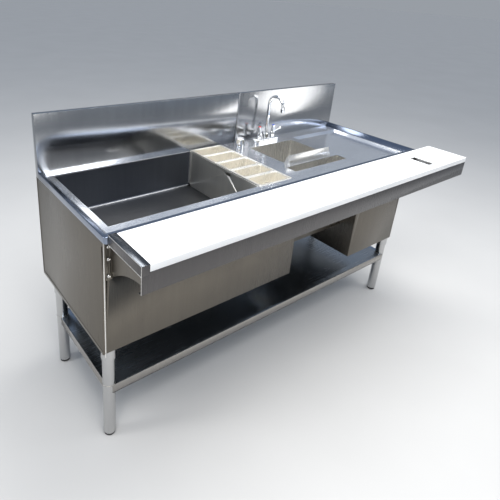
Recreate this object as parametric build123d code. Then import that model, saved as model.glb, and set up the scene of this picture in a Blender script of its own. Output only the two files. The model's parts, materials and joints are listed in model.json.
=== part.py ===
"""Stainless bar and food-truck prep station, in millimetres.

A left ice basin, a row of five condiment pans, a hand sink with a gooseneck faucet, a narrow
front well and a drainboard share one deck with a backsplash. A long cutting board lies on a
bracketed front tray. Casings hang under the deck, and four tube legs carry an undershelf.

Every piece is drawn in the shop frame: X from the deck's left end, Y from the deck's front
edge towards the wall, Z up from the floor. part_frame moves it to the part's own frame, whose
origin is the middle of the whole station's footprint, on the floor.
"""
from build123d import *
import math
import os

# ---- overall sizes -------------------------------------------------------------------------
DECK_LENGTH = 1829.0
DECK_DEPTH = 600.0
RIM_HEIGHT = 914.0
SPLASH_RISE = 242.0
SPLASH_DEPTH = 25.0
TRAY_REACH = 208.0
TRAY_OVERHANG = 107.0
SPLASH_SEAM = 1048.0
SPLASH_LAP = 5.0

# ---- sheet metal and fits ------------------------------------------------------------------
PANEL_SHEET = 1.5
DECK_SHEET = 2.0
SEAT_GAP = 0.3          # between a lift-off piece and its surround
PRESS_GAP = 0.05        # round a piece that is fitted into a tube
RUNNING_GAP = 0.05      # radial, on turning fits
HOLE_GAP = 0.15         # round a bolt shank
WELD_GAP = 0.1          # round a leg where a sheet is notched for it

# ---- deck rim ------------------------------------------------------------------------------
RIM_FLAT_LEFT = 14.0
RIM_FLAT_FRONT = 25.0
RIM_FLAT_RIGHT = 12.0
RIM_SLOPE_RUN = 22.0
RIM_DROP = 22.0
RIM_HEM = 25.0
RIM_CORNER_R = 12.0
RIM_ROLL_R = 3.0

# ---- drainboard ----------------------------------------------------------------------------
DRAINBOARD_GAP = 12.0       # from the front well to the drainboard
DRAINBOARD_RIGHT_MARGIN = 44.0
DRAINBOARD_FRONT = 62.0
DRAINBOARD_REAR_MARGIN = 78.0
DRAINBOARD_DROP = 12.0
DRAINBOARD_SLOPE_RUN = 18.0

# ---- big basin and pans --------------------------------------------------------------------
BASIN_LEFT = 60.0
BASIN_LENGTH = 885.0
BASIN_FRONT = 97.0
BASIN_REAR_MARGIN = 10.0
BASIN_DEPTH = 181.0
BASIN_CORNER_R = 12.0
BASIN_FLOOR_R = 12.0
LINER_FLANGE = 4.0
DIVIDER_GAP = 7.0           # from the divider to the pans' flanges
DIVIDER_SHEET = 2.5
FINGER_HOLE_PAN = 2         # counted from the front, at the joint after this pan
FINGER_HOLE_DROP = 17.0
FINGER_HOLE_LENGTH = 40.0
FINGER_HOLE_HEIGHT = 13.0
CHANNEL_WIDTH = 9.0
CHANNEL_DEPTH = 12.0
CHANNEL_GAP = 0.75
PAN_RAIL_INSET = 2.0
PAN_RAIL_WIDTH = 10.0
PAN_RAIL_HEIGHT = 14.0
PAN_COUNT = 5
PAN_ROW_FRONT = 92.0
PAN_FLANGE_LENGTH = 194.0
PAN_FLANGE_SIDE = 8.5
PAN_FLANGE_END = 10.5
PAN_FLANGE_SHEET = 2.5
PAN_FLANGE_CORNER_R = 4.0
PAN_DEPTH = 100.0
PAN_WALL = 1.2
PAN_TAPER = 5.0
PAN_CORNER_R = 14.0
PAN_SPACING_GAP = 0.8

# ---- hand sink, front well, splash divider ---------------------------------------------------
SINK_GAP = 110.0            # from the big basin to the hand sink
SINK_LENGTH = 315.0
SINK_FRONT = 255.0
SINK_REAR_MARGIN = 108.0
SINK_DEPTH = 254.0
SINK_CORNER_R = 14.0
SINK_FLOOR_R = 18.0
WELL_OVERLAP = 35.0         # of the well past the sink's left end
WELL_LENGTH = 380.0
WELL_FRONT = 140.0
WELL_WIDTH = 60.0
WELL_DEPTH = 130.0
WELL_CORNER_R = 8.0
WELL_FLOOR_R = 8.0
BOWL_FLANGE = 8.0
GUARD_HEIGHT = 43.0
GUARD_BASE = 40.0
GUARD_END_INSET = 16.0

# ---- casings -------------------------------------------------------------------------------
CASING_FRONT = 30.0
LEFT_CASING_HEIGHT = 487.0  # from the rim's top
LEFT_CASING_GAP = 6.0       # from the basin to the casing's right wall
RIGHT_CASING_HEIGHT = 549.0
RIGHT_CASING_GAP = 15.0     # from the front well to the casing
RIGHT_CASING_MARGIN = 11.0
END_PANEL_OFFSET = 1.5
END_PANEL_HEM = 14.0
END_PANEL_RETURN = 5.0
CHEEK_DROP = 22.0
CORNER_GROOVE = 4.0
CASING_RETURN = 30.0
APRON_SIDE = 8.0
APRON_FRONT_GAP = 22.0
APRON_REAR_GAP = 13.0
APRON_DROP = 118.0          # below the hand sink's floor
APRON_FLANGE = 20.0
HAT_WIDTH = 40.0
HAT_HEIGHT = 30.0
HAT_GAP = 11.0              # from the left casing to the first channel
DRAINBOARD_HAT_INSET = 188.0

# ---- front tray and board ------------------------------------------------------------------
TRAY_INSET = 12.0
TRAY_DROP = 17.0            # of the tray's top below the rim
TRAY_SKIRT = 71.0
TRAY_RETURN = 16.0
END_CAP_WIDTH = 27.0
END_CAP_PROUD = 1.0         # above the board
END_CAP_LAP = 10.0          # below the tray's top
BOARD_THICKNESS = 25.0
BOARD_EDGE_R = 2.5
BOARD_REAR_GAP = 2.0
SLOT_INSET = 199.0          # from the deck's right end
SLOT_LENGTH = 45.0
SLOT_MARGIN = 43.0          # from the tray's front
SLOT_WIDTH = 97.0
BRACKET_SHEET = 2.5
BRACKET_HEIGHT = 154.0
BRACKET_FLANGE = 24.0
BRACKET_POSITIONS = (480.0, 900.0, 1450.0)
LAST_BRACKET_MARGIN = 49.0
BOLT_R = 4.0
BOLT_HEAD_R = 7.0
BOLT_HEAD_HEIGHT = 4.5
BOLT_DROPS = (27.0, 74.0, 139.0)    # below the rim's hem

# ---- legs and undershelf -------------------------------------------------------------------
LEG_R = 24.15
LEG_WALL = 2.0
LEG_MARGIN = 35.0
LEG_FRONT = 60.0
LEG_REAR_MARGIN = 80.0
SOCKET_WALL = 3.6
SOCKET_HEIGHT = 45.0
SOCKET_CAP = 3.0
FOOT_INSET = 2.65           # of the glide inside the leg's outside
FOOT_HEIGHT = 14.0
FOOT_EDGE_R = 4.0
STEM_R = 8.0
STEM_LENGTH = 46.0
STEM_GAP = 0.3
INSERT_HEIGHT = 26.0
SHELF_TOP = 258.0
SHELF_LIP = 38.0
SHELF_SIDE = 14.0

# ---- drains --------------------------------------------------------------------------------
BASIN_DRAIN_INSET = (500.0, 248.0)  # from the basin's left and front
DRAIN_FLANGE_R = 44.0
DRAIN_FLANGE_HEIGHT = 2.5
DRAIN_CUP_R = 34.0
DRAIN_CUP_WALL = 2.0
DRAIN_CUP_DEPTH = 34.0
DRAIN_HOLE_GAP = 0.5
DRAIN_NECK_R = 23.0
DRAIN_NECK_HEIGHT = 22.0
DRAIN_NUT_R = 45.0
DRAIN_NUT_HEIGHT = 12.0
TAIL_R = 19.05              # of the plain outlet end
TAIL_NECK_R = 20.0
TAIL_BORE_R = 17.5
TAIL_STUB = 50.0            # below the left casing
TAIL_END_LENGTH = 48.0
STRAINER_SHEET = 1.5
STRAINER_HEIGHT = 16.0
STRAINER_ROWS = ((10.0, 6), (17.0, 10), (24.0, 14))     # radius of a row of holes, holes in it
STRAINER_HOLE_R = 2.2
STRAINER_KNOB_R = 5.0
STRAINER_KNOB_HEIGHT = 14.0

# ---- faucet and air gap --------------------------------------------------------------------
FAUCET_INSET = 161.0        # from the hand sink's left end
FAUCET_SETBACK = 55.0       # from the backsplash
VALVE_SPACING = 101.6
FAUCET_BASE_LENGTH = 184.0
FAUCET_BASE_WIDTH = 50.0
FAUCET_BASE_HEIGHT = 22.0
FAUCET_BASE_EDGE_R = 7.0
BONNET_R = 14.0
BONNET_HEIGHT = 14.0
VALVE_STEM_R = 5.0
VALVE_STEM_HEIGHT = 26.0
HUB_FOOT_R = 12.5
HUB_TOP_R = 8.5
HUB_HEIGHT = 48.0
HUB_SKIRT = 10.0
INDEX_R = 7.5
INDEX_HEIGHT = 3.0
LEVER_R = 4.2
LEVER_LENGTH = 62.0
LEVER_RISE = 14.0
LEVER_BALL_R = 6.5
HANDLE_LIFT = 0.4
SPOUT_R = 8.0
SPOUT_WALL = 1.5
SPOUT_BEND_R = 50.0
SPOUT_RISE = 262.0          # above the deck
SPOUT_TIP_RISE = 196.0
SPOUT_NUT_WALL = 6.5
SPOUT_NUT_HEIGHT = 26.0
SPOUT_SOCKET = 12.0
AERATOR_WALL = 3.0
AERATOR_HEIGHT = 20.0
AERATOR_LAP = 8.0
SHANK_R = 10.45             # of the end that takes the supply nut
SHANK_NECK_R = 11.2
SHANK_BORE_R = 7.5
SHANK_LENGTH = 62.0
SHANK_END_LENGTH = 42.0
SHANK_HOLE_GAP = 0.75
LOCKNUT_R = 19.0
LOCKNUT_HEIGHT = 9.0
AIR_GAP_OFFSET = 33.0       # left of the hand sink
AIR_GAP_SETBACK = 64.0
AIR_GAP_R = 24.0
AIR_GAP_HEIGHT = 46.0
AIR_GAP_WALL = 1.5
AIR_GAP_ROOF = 3.0
AIR_GAP_EDGE_R = 6.0
AIR_GAP_SLOT = (8.0, 14.0, 5.0)
AIR_GAP_BODY_R = 15.0
AIR_GAP_BODY_DROP = 60.0

# ---- places that follow from the sizes above -------------------------------------------------
SPLASH_TOP = RIM_HEIGHT + SPLASH_RISE
BACK = DECK_DEPTH + SPLASH_DEPTH
DECK_TOP = RIM_HEIGHT - RIM_DROP
DECK_UNDER = DECK_TOP - DECK_SHEET
HEM_BOTTOM = RIM_HEIGHT - RIM_HEM
TRAY_RIGHT = DECK_LENGTH + TRAY_OVERHANG
BOARD_LEFT = TRAY_INSET + END_CAP_WIDTH
TRAY_TOP = RIM_HEIGHT - TRAY_DROP
TRAY_BOTTOM = TRAY_TOP - TRAY_SKIRT
END_CAP_TOP = TRAY_TOP + BOARD_THICKNESS + END_CAP_PROUD
END_CAP_BOTTOM = TRAY_TOP - END_CAP_LAP
BASIN_RIGHT = BASIN_LEFT + BASIN_LENGTH
BASIN_REAR = DECK_DEPTH - BASIN_REAR_MARGIN
BASIN_FLOOR = DECK_TOP - BASIN_DEPTH
BASIN_DRAIN_X = BASIN_LEFT + BASIN_DRAIN_INSET[0]
BASIN_DRAIN_Y = BASIN_FRONT + BASIN_DRAIN_INSET[1]
SINK_LEFT = BASIN_RIGHT + SINK_GAP
SINK_FLOOR = DECK_TOP - SINK_DEPTH
SINK_RIGHT = SINK_LEFT + SINK_LENGTH
SINK_REAR = DECK_DEPTH - SINK_REAR_MARGIN
WELL_LEFT = SINK_LEFT - WELL_OVERLAP
WELL_RIGHT = WELL_LEFT + WELL_LENGTH
WELL_REAR = WELL_FRONT + WELL_WIDTH
DRAINBOARD_LEFT = WELL_RIGHT + DRAINBOARD_GAP
PAN_FLANGE_RIGHT = BASIN_RIGHT
PAN_FLANGE_LEFT = PAN_FLANGE_RIGHT - PAN_FLANGE_LENGTH
DIVIDER_X = PAN_FLANGE_LEFT - DIVIDER_GAP
PAN_RAIL_X = PAN_FLANGE_LEFT + PAN_RAIL_INSET
PAN_PITCH = (DECK_DEPTH - SEAT_GAP - PAN_ROW_FRONT) / PAN_COUNT
LEFT_CASING_BOTTOM = RIM_HEIGHT - LEFT_CASING_HEIGHT
LEFT_CASING_RIGHT = BASIN_RIGHT + LEFT_CASING_GAP
RIGHT_CASING_BOTTOM = RIM_HEIGHT - RIGHT_CASING_HEIGHT
RIGHT_CASING_LEFT = WELL_RIGHT + RIGHT_CASING_GAP
RIGHT_CASING_RIGHT = DECK_LENGTH - RIGHT_CASING_MARGIN
APRON_FRONT = WELL_FRONT - APRON_FRONT_GAP
APRON_REAR = SINK_REAR + APRON_REAR_GAP
APRON_BOTTOM = SINK_FLOOR - APRON_DROP
HAT_X = LEFT_CASING_RIGHT + HAT_GAP
DRAINBOARD_HAT_X = DRAINBOARD_LEFT + DRAINBOARD_HAT_INSET
SLOT_LEFT = DECK_LENGTH - SLOT_INSET
SLOT_FRONT = -TRAY_REACH + SLOT_MARGIN
BRACKET_FOOT = HEM_BOTTOM - BRACKET_HEIGHT
BOLT_LEVELS = [HEM_BOTTOM - drop for drop in BOLT_DROPS]
LEG_LEFT_X = LEG_MARGIN
LEG_RIGHT_X = DECK_LENGTH - LEG_MARGIN
LEG_REAR = DECK_DEPTH - LEG_REAR_MARGIN
FOOT_R = LEG_R - FOOT_INSET
FAUCET_X = SINK_LEFT + FAUCET_INSET
FAUCET_Y = DECK_DEPTH - FAUCET_SETBACK
SPOUT_TOP = DECK_TOP + SPOUT_RISE
SPOUT_TIP = DECK_TOP + SPOUT_TIP_RISE
SPOUT_REACH = 2 * SPOUT_BEND_R
SPOUT_NUT_R = SPOUT_R + SPOUT_NUT_WALL
AERATOR_R = SPOUT_R + AERATOR_WALL
AIR_GAP_X = SINK_LEFT - AIR_GAP_OFFSET
AIR_GAP_Y = DECK_DEPTH - AIR_GAP_SETBACK
LEGS = {
    "front_left": (LEG_LEFT_X, LEG_FRONT, LEFT_CASING_BOTTOM),
    "rear_left": (LEG_LEFT_X, LEG_REAR, LEFT_CASING_BOTTOM),
    "front_right": (LEG_RIGHT_X, LEG_FRONT, RIGHT_CASING_BOTTOM),
    "rear_right": (LEG_RIGHT_X, LEG_REAR, RIGHT_CASING_BOTTOM),
}
part_frame = Pos(-TRAY_RIGHT / 2, -(BACK - TRAY_REACH) / 2, 0)


# ---- helpers -------------------------------------------------------------------------------
def block(x0, x1, y0, y1, z0, z1):
    """A box between two corners."""
    corner = (Align.MIN, Align.MIN, Align.MIN)
    return Pos(x0, y0, z0) * Box(x1 - x0, y1 - y0, z1 - z0, align=corner)


def rod(x, y, z0, z1, radius):
    """An upright cylinder."""
    return Pos(x, y, z0) * Cylinder(radius, z1 - z0, align=(Align.CENTER, Align.CENTER, Align.MIN))


def ring(x, y, z0, z1, outer, inner):
    """An upright tube."""
    return rod(x, y, z0, z1, outer) - rod(x, y, z0 - 1, z1 + 1, inner)


def rectangle_at(x0, x1, y0, y1, z, corner=0.0):
    """A flat rectangle at height z, with rounded corners if asked."""
    width = x1 - x0
    depth = y1 - y0
    outline = RectangleRounded(width, depth, corner) if corner else Rectangle(width, depth)
    return Pos((x0 + x1) / 2, (y0 + y1) / 2, z) * outline


def frustum(low, z_low, high, z_high, low_corner=0.0, high_corner=0.0):
    """A straight-sided solid between two rectangles given as (x0, x1, y0, y1)."""
    return loft([rectangle_at(*low, z_low, low_corner), rectangle_at(*high, z_high, high_corner)])


def rounded_block(x0, x1, y0, y1, z0, z1, corner):
    """A box whose upright edges are rounded."""
    return extrude(rectangle_at(x0, x1, y0, y1, z0, corner), z1 - z0)


def grow(bounds, margin):
    """Rectangle bounds moved outwards by a margin on every side."""
    x0, x1, y0, y1 = bounds
    return (x0 - margin, x1 + margin, y0 - margin, y1 + margin)


def edges_at_height(shape, z):
    """The edges of a shape that lie flat at height z."""
    return [e for e in shape.edges() if abs(e.center().Z - z) < 0.01 and e.bounding_box().size.Z < 0.01]


def turned(x, y, points):
    """A solid of revolution about an upright axis, from (radius, height) points."""
    profile = make_face(Polyline([(r, 0, z) for r, z in points], close=True))
    return Pos(x, y, 0) * revolve(profile, Axis.Z)


def tub(bounds, z_top, depth, wall, corner, floor_r, flange):
    """An open bowl whose inside fills bounds, with a flange under the deck."""
    outer_bounds = grow(bounds, wall)
    outer = rounded_block(*outer_bounds, z_top - depth - wall, z_top, corner + wall)
    outer = fillet(edges_at_height(outer, z_top - depth - wall), floor_r + wall)
    inner = rounded_block(*bounds, z_top - depth, z_top + 1, corner)
    inner = fillet(edges_at_height(inner, z_top - depth), floor_r)
    lip = rounded_block(*grow(bounds, flange), z_top - wall, z_top, corner + flange)
    return outer + lip - inner


def hex_nut(x, y, z0, z1, flat_r, bore_r):
    """A six-sided ring nut on an upright axis."""
    outline = Pos(x, y, z0) * RegularPolygon(flat_r, 6, major_radius=False)
    return extrude(outline, z1 - z0) - rod(x, y, z0 - 1, z1 + 1, bore_r)


# ---- deck ----------------------------------------------------------------------------------
def dish_bounds(inset):
    """The rectangle inside the rim, open at the backsplash; inset counts from the rim's flat."""
    left = RIM_FLAT_LEFT + inset
    right = DECK_LENGTH - RIM_FLAT_RIGHT - inset
    front = RIM_FLAT_FRONT + inset
    return (left, right, front, DECK_DEPTH + RIM_SLOPE_RUN)


def deck_rim():
    """The raised edge on three sides: hem, flat and slope, folded from one sheet."""
    outside = block(0, DECK_LENGTH, 0, DECK_DEPTH, HEM_BOTTOM, RIM_HEIGHT)
    front_corners = outside.edges().filter_by(Axis.Z).group_by(Axis.Y)[0]
    outside = fillet(front_corners, RIM_CORNER_R)
    rolled = [e for e in edges_at_height(outside, RIM_HEIGHT) if e.center().Y < DECK_DEPTH - 1]
    outside = fillet(rolled, RIM_ROLL_R)
    dish = frustum(dish_bounds(RIM_SLOPE_RUN), DECK_TOP, dish_bounds(0), RIM_HEIGHT)
    slope_sheet = DECK_SHEET * math.hypot(RIM_SLOPE_RUN, RIM_DROP) / RIM_DROP
    bowl = frustum(
        dish_bounds(RIM_SLOPE_RUN - slope_sheet), DECK_UNDER, dish_bounds(-slope_sheet), RIM_HEIGHT
    )
    hollow = block(
        DECK_SHEET, DECK_LENGTH - DECK_SHEET, DECK_SHEET, DECK_DEPTH + 1, HEM_BOTTOM - 1,
        RIM_HEIGHT - DECK_SHEET,
    )
    corners = hollow.edges().filter_by(Axis.Z).group_by(Axis.Y)[0]
    hollow = fillet(corners, RIM_CORNER_R - DECK_SHEET)
    floor_space = block(*dish_bounds(RIM_SLOPE_RUN), HEM_BOTTOM - 1, DECK_TOP)
    return outside - dish - (hollow - bowl) - floor_space


def drainboard_bounds():
    """The top outline of the drainboard recess."""
    right = DECK_LENGTH - DRAINBOARD_RIGHT_MARGIN
    return (DRAINBOARD_LEFT, right, DRAINBOARD_FRONT, DECK_DEPTH - DRAINBOARD_REAR_MARGIN)


def deck_floor():
    """The flat of the deck, with its cut-outs and the pressed drainboard."""
    x0, x1, y0, _ = dish_bounds(RIM_SLOPE_RUN)
    plate = block(x0, x1, y0, DECK_DEPTH, DECK_UNDER, DECK_TOP)
    top = drainboard_bounds()
    low = grow(top, -DRAINBOARD_SLOPE_RUN)
    plate += frustum(
        grow(low, DECK_SHEET), DECK_UNDER - DRAINBOARD_DROP, grow(top, DECK_SHEET), DECK_UNDER
    )
    plate -= frustum(low, DECK_TOP - DRAINBOARD_DROP, top, DECK_TOP)
    plate -= block(
        BASIN_LEFT, BASIN_RIGHT - PAN_FLANGE_END, BASIN_FRONT, BASIN_REAR, DECK_UNDER - 1, DECK_TOP + 1
    )
    for bounds, corner in ((sink_bounds(), SINK_CORNER_R), (well_bounds(), WELL_CORNER_R)):
        plate -= rounded_block(*bounds, DECK_UNDER - 1, DECK_TOP + 1, corner)
    for x in valve_places():
        plate -= rod(x, FAUCET_Y, DECK_UNDER - 1, DECK_TOP + 1, SHANK_NECK_R + SHANK_HOLE_GAP)
    plate -= rod(AIR_GAP_X, AIR_GAP_Y, DECK_UNDER - 1, DECK_TOP + 1, AIR_GAP_BODY_R + HOLE_GAP)
    return plate


def deck_channels():
    """Hat channels that stiffen the deck beside the big basin and under the drainboard."""
    channels = []
    for x, top in ((HAT_X, DECK_UNDER), (DRAINBOARD_HAT_X, DECK_UNDER - DRAINBOARD_DROP)):
        rear = DECK_DEPTH if x == HAT_X else drainboard_bounds()[3]
        front = CASING_FRONT + HAT_WIDTH
        channel = block(x, x + HAT_WIDTH, front, rear, top - HAT_HEIGHT, top)
        inside = block(
            x + PANEL_SHEET, x + HAT_WIDTH - PANEL_SHEET, front - 1, rear + 1,
            top - HAT_HEIGHT + PANEL_SHEET, top + 1,
        )
        channels.append(channel - inside)
    return channels


# ---- backsplash ----------------------------------------------------------------------------
def splash_panel(x0, x1):
    """A backsplash tray: face, top and ends folded back to a narrow rear flange."""
    shell = block(x0, x1, DECK_DEPTH, BACK, HEM_BOTTOM, SPLASH_TOP)
    shell -= block(
        x0 + PANEL_SHEET, x1 - PANEL_SHEET, DECK_DEPTH + PANEL_SHEET, BACK - PANEL_SHEET,
        HEM_BOTTOM - 1, SPLASH_TOP - PANEL_SHEET,
    )
    flange = CASING_RETURN
    return shell - block(
        x0 + flange, x1 - flange, BACK - 2 * PANEL_SHEET, BACK + 1, HEM_BOTTOM - 1, SPLASH_TOP - flange
    )


def splash_right_panel():
    """The right backsplash tray, whose edge laps over the left one at the vertical joint."""
    lap = block(
        SPLASH_SEAM - SPLASH_LAP, SPLASH_SEAM + SPLASH_LAP, DECK_DEPTH - PANEL_SHEET, DECK_DEPTH, DECK_TOP,
        SPLASH_TOP,
    )
    return splash_panel(SPLASH_SEAM, DECK_LENGTH) + lap


# ---- left casing ---------------------------------------------------------------------------
def end_panel():
    """The left end sheet, flared forward to meet the rim, with a front return and a foot hem."""
    front = CASING_FRONT - PANEL_SHEET
    cheek = HEM_BOTTOM - CHEEK_DROP
    outline = [
        (0, front, LEFT_CASING_BOTTOM), (0, front, cheek), (0, RIM_CORNER_R, HEM_BOTTOM),
        (0, BACK - PANEL_SHEET, HEM_BOTTOM), (0, BACK - PANEL_SHEET, LEFT_CASING_BOTTOM),
    ]
    face = make_face(Polyline(outline, close=True))
    sheet = Pos(END_PANEL_OFFSET, 0, 0) * extrude(face, PANEL_SHEET, dir=(1, 0, 0))
    inner = END_PANEL_OFFSET + PANEL_SHEET
    rear = BACK - PANEL_SHEET
    low = LEFT_CASING_BOTTOM
    sheet += block(inner, inner + END_PANEL_RETURN, front, front + PANEL_SHEET, low, cheek)
    sheet += block(0, END_PANEL_OFFSET, front, rear, low, low + END_PANEL_HEM)
    return sheet


def casing_front():
    """The front sheet of the left casing, with a soffit under the rim and a return at the corner."""
    left = END_PANEL_OFFSET + PANEL_SHEET + END_PANEL_RETURN + CORNER_GROOVE
    right = LEFT_CASING_RIGHT
    low = LEFT_CASING_BOTTOM
    back = CASING_FRONT + PANEL_SHEET
    sheet = block(left, right, CASING_FRONT, back, low, HEM_BOTTOM)
    deep = CASING_FRONT + CASING_RETURN
    sheet += block(left, left + PANEL_SHEET, back, deep, low + PANEL_SHEET, HEM_BOTTOM)
    sheet += block(left, right, 0, back, HEM_BOTTOM - PANEL_SHEET, HEM_BOTTOM)
    for x in bracket_places():
        if x < LEFT_CASING_RIGHT:
            sheet -= bolt_holes(x)
    return sheet


def casing_wrap():
    """The right wall and the rear of the left casing, folded from one sheet."""
    rear = BACK - PANEL_SHEET
    x0 = LEFT_CASING_RIGHT - PANEL_SHEET
    front = CASING_FRONT + PANEL_SHEET
    x1 = LEFT_CASING_RIGHT
    low = LEFT_CASING_BOTTOM
    wall = block(x0, x1, front, rear, low, HEM_BOTTOM - PANEL_SHEET)
    wall += block(x0, x1, dish_bounds(RIM_SLOPE_RUN)[2], DECK_DEPTH, low, DECK_UNDER)
    return wall + block(0, x1, rear, BACK, low, HEM_BOTTOM)


def casing_bottom():
    """The bottom sheet of the left casing, with the drain's hole."""
    sheet = block(
        END_PANEL_OFFSET + PANEL_SHEET, LEFT_CASING_RIGHT - PANEL_SHEET, CASING_FRONT + PANEL_SHEET,
        BACK - PANEL_SHEET, LEFT_CASING_BOTTOM, LEFT_CASING_BOTTOM + PANEL_SHEET,
    )
    return sheet - rod(
        BASIN_DRAIN_X, BASIN_DRAIN_Y, LEFT_CASING_BOTTOM - 1, LEFT_CASING_BOTTOM + PANEL_SHEET + 1,
        TAIL_NECK_R + WELD_GAP,
    )


# ---- right casing and sink apron -------------------------------------------------------------
def right_casing_front():
    """The front and bottom of the right casing, one folded sheet with a soffit under the rim."""
    x0, x1 = RIGHT_CASING_LEFT, RIGHT_CASING_RIGHT
    sheet = block(x0, x1, CASING_FRONT, CASING_FRONT + PANEL_SHEET, RIGHT_CASING_BOTTOM, HEM_BOTTOM)
    sheet += block(x0, x1, 0, CASING_FRONT + PANEL_SHEET, HEM_BOTTOM - PANEL_SHEET, HEM_BOTTOM)
    sheet += block(
        x0, x1, CASING_FRONT, BACK - PANEL_SHEET, RIGHT_CASING_BOTTOM, RIGHT_CASING_BOTTOM + PANEL_SHEET
    )
    for x in bracket_places():
        if x > RIGHT_CASING_LEFT:
            sheet -= bolt_holes(x)
    return sheet


def right_casing_wrap():
    """The two sides and the rear of the right casing, folded from one sheet."""
    rear = BACK - PANEL_SHEET
    front = CASING_FRONT + PANEL_SHEET
    low = RIGHT_CASING_BOTTOM + PANEL_SHEET
    top = DECK_UNDER - DRAINBOARD_DROP
    sheet = block(RIGHT_CASING_LEFT, RIGHT_CASING_RIGHT, rear, BACK, RIGHT_CASING_BOTTOM, HEM_BOTTOM)
    for x in (RIGHT_CASING_LEFT, RIGHT_CASING_RIGHT - PANEL_SHEET):
        sheet += block(x, x + PANEL_SHEET, front, rear, low, top)
    return sheet


def sink_apron():
    """The open-bottomed box round the hand sink and the front well."""
    x0 = WELL_LEFT - APRON_SIDE - PANEL_SHEET
    x1 = WELL_RIGHT + APRON_SIDE + PANEL_SHEET
    low = APRON_BOTTOM
    outside = block(x0, x1, APRON_FRONT, APRON_REAR, low, DECK_UNDER)
    inside = block(
        x0 + PANEL_SHEET, x1 - PANEL_SHEET, APRON_FRONT + PANEL_SHEET, APRON_REAR - PANEL_SHEET,
        low + PANEL_SHEET, DECK_UNDER + 1,
    )
    mouth = block(
        x0 + APRON_FLANGE, x1 - APRON_FLANGE, APRON_FRONT + APRON_FLANGE, APRON_REAR - APRON_FLANGE, low - 1,
        low + PANEL_SHEET + 1,
    )
    return outside - inside - mouth


# ---- basins --------------------------------------------------------------------------------
def sink_bounds():
    """The inside outline of the hand sink."""
    return (SINK_LEFT, SINK_RIGHT, SINK_FRONT, SINK_REAR)


def well_bounds():
    """The inside outline of the front well."""
    return (WELL_LEFT, WELL_RIGHT, WELL_FRONT, WELL_REAR)


def basin_liner():
    """The big basin under the ice space and the pans, with its drain hole."""
    bounds = (BASIN_LEFT, BASIN_RIGHT, BASIN_FRONT, BASIN_REAR)
    depth = BASIN_DEPTH - DECK_SHEET
    liner = tub(bounds, DECK_UNDER, depth, PANEL_SHEET, BASIN_CORNER_R, BASIN_FLOOR_R, LINER_FLANGE)
    return liner - rod(
        BASIN_DRAIN_X, BASIN_DRAIN_Y, BASIN_FLOOR - 2 * PANEL_SHEET, BASIN_FLOOR + 1,
        DRAIN_CUP_R + DRAIN_HOLE_GAP,
    )


def divider_channels():
    """The two U channels on the basin's front and rear walls that hold the divider."""
    channels = []
    floor = BASIN_FLOOR + BASIN_FLOOR_R
    x0 = DIVIDER_X + DIVIDER_SHEET / 2 - CHANNEL_WIDTH / 2
    slot = DIVIDER_SHEET + 2 * CHANNEL_GAP
    for wall, side in ((BASIN_FRONT, 1), (BASIN_REAR, -1)):
        y0, y1 = sorted((wall, wall + side * CHANNEL_DEPTH))
        bar = block(x0, x0 + CHANNEL_WIDTH, y0, y1, floor, DECK_TOP)
        s0, s1 = sorted((wall + side * PANEL_SHEET, wall + side * (CHANNEL_DEPTH + 1)))
        cut = block(DIVIDER_X - CHANNEL_GAP, DIVIDER_X - CHANNEL_GAP + slot, s0, s1, floor - 1, DECK_TOP + 1)
        channels.append(bar - cut)
    return channels


def divider_panel():
    """The lift-out wall between the ice space and the pans, with a finger notch."""
    gap = PANEL_SHEET + CHANNEL_GAP
    y0 = BASIN_FRONT + gap
    y1 = BASIN_REAR - gap
    low = BASIN_FLOOR + SEAT_GAP
    panel = block(DIVIDER_X, DIVIDER_X + DIVIDER_SHEET, y0, y1, low, DECK_TOP - SEAT_GAP)
    for y in (y0, y1):
        corner = BASIN_FLOOR_R + gap
        panel -= block(
            DIVIDER_X - 1, DIVIDER_X + DIVIDER_SHEET + 1, y - corner, y + corner, low - 1, low + BASIN_FLOOR_R
        )
    return panel - finger_hole(PAN_ROW_FRONT + FINGER_HOLE_PAN * PAN_PITCH)


def finger_hole(y):
    """A cutter for the round-ended finger hole, just under the divider's top edge."""
    middle = (DIVIDER_X + DIVIDER_SHEET / 2, y, DECK_TOP - FINGER_HOLE_DROP)
    across = Plane(origin=middle, x_dir=(0, 1, 0), z_dir=(1, 0, 0))
    return extrude(across * SlotOverall(FINGER_HOLE_LENGTH, FINGER_HOLE_HEIGHT), DIVIDER_SHEET, both=True)


def pan_rail():
    """The cross bar that carries the pans' left flanges."""
    outside = block(
        PAN_RAIL_X, PAN_RAIL_X + PAN_RAIL_WIDTH, BASIN_FRONT, BASIN_REAR, DECK_TOP - PAN_RAIL_HEIGHT, DECK_TOP
    )
    inside = block(
        PAN_RAIL_X + PANEL_SHEET, PAN_RAIL_X + PAN_RAIL_WIDTH - PANEL_SHEET, BASIN_FRONT - 1, BASIN_REAR + 1,
        DECK_TOP - PAN_RAIL_HEIGHT - 1, DECK_TOP - PANEL_SHEET,
    )
    return outside - inside


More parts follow.
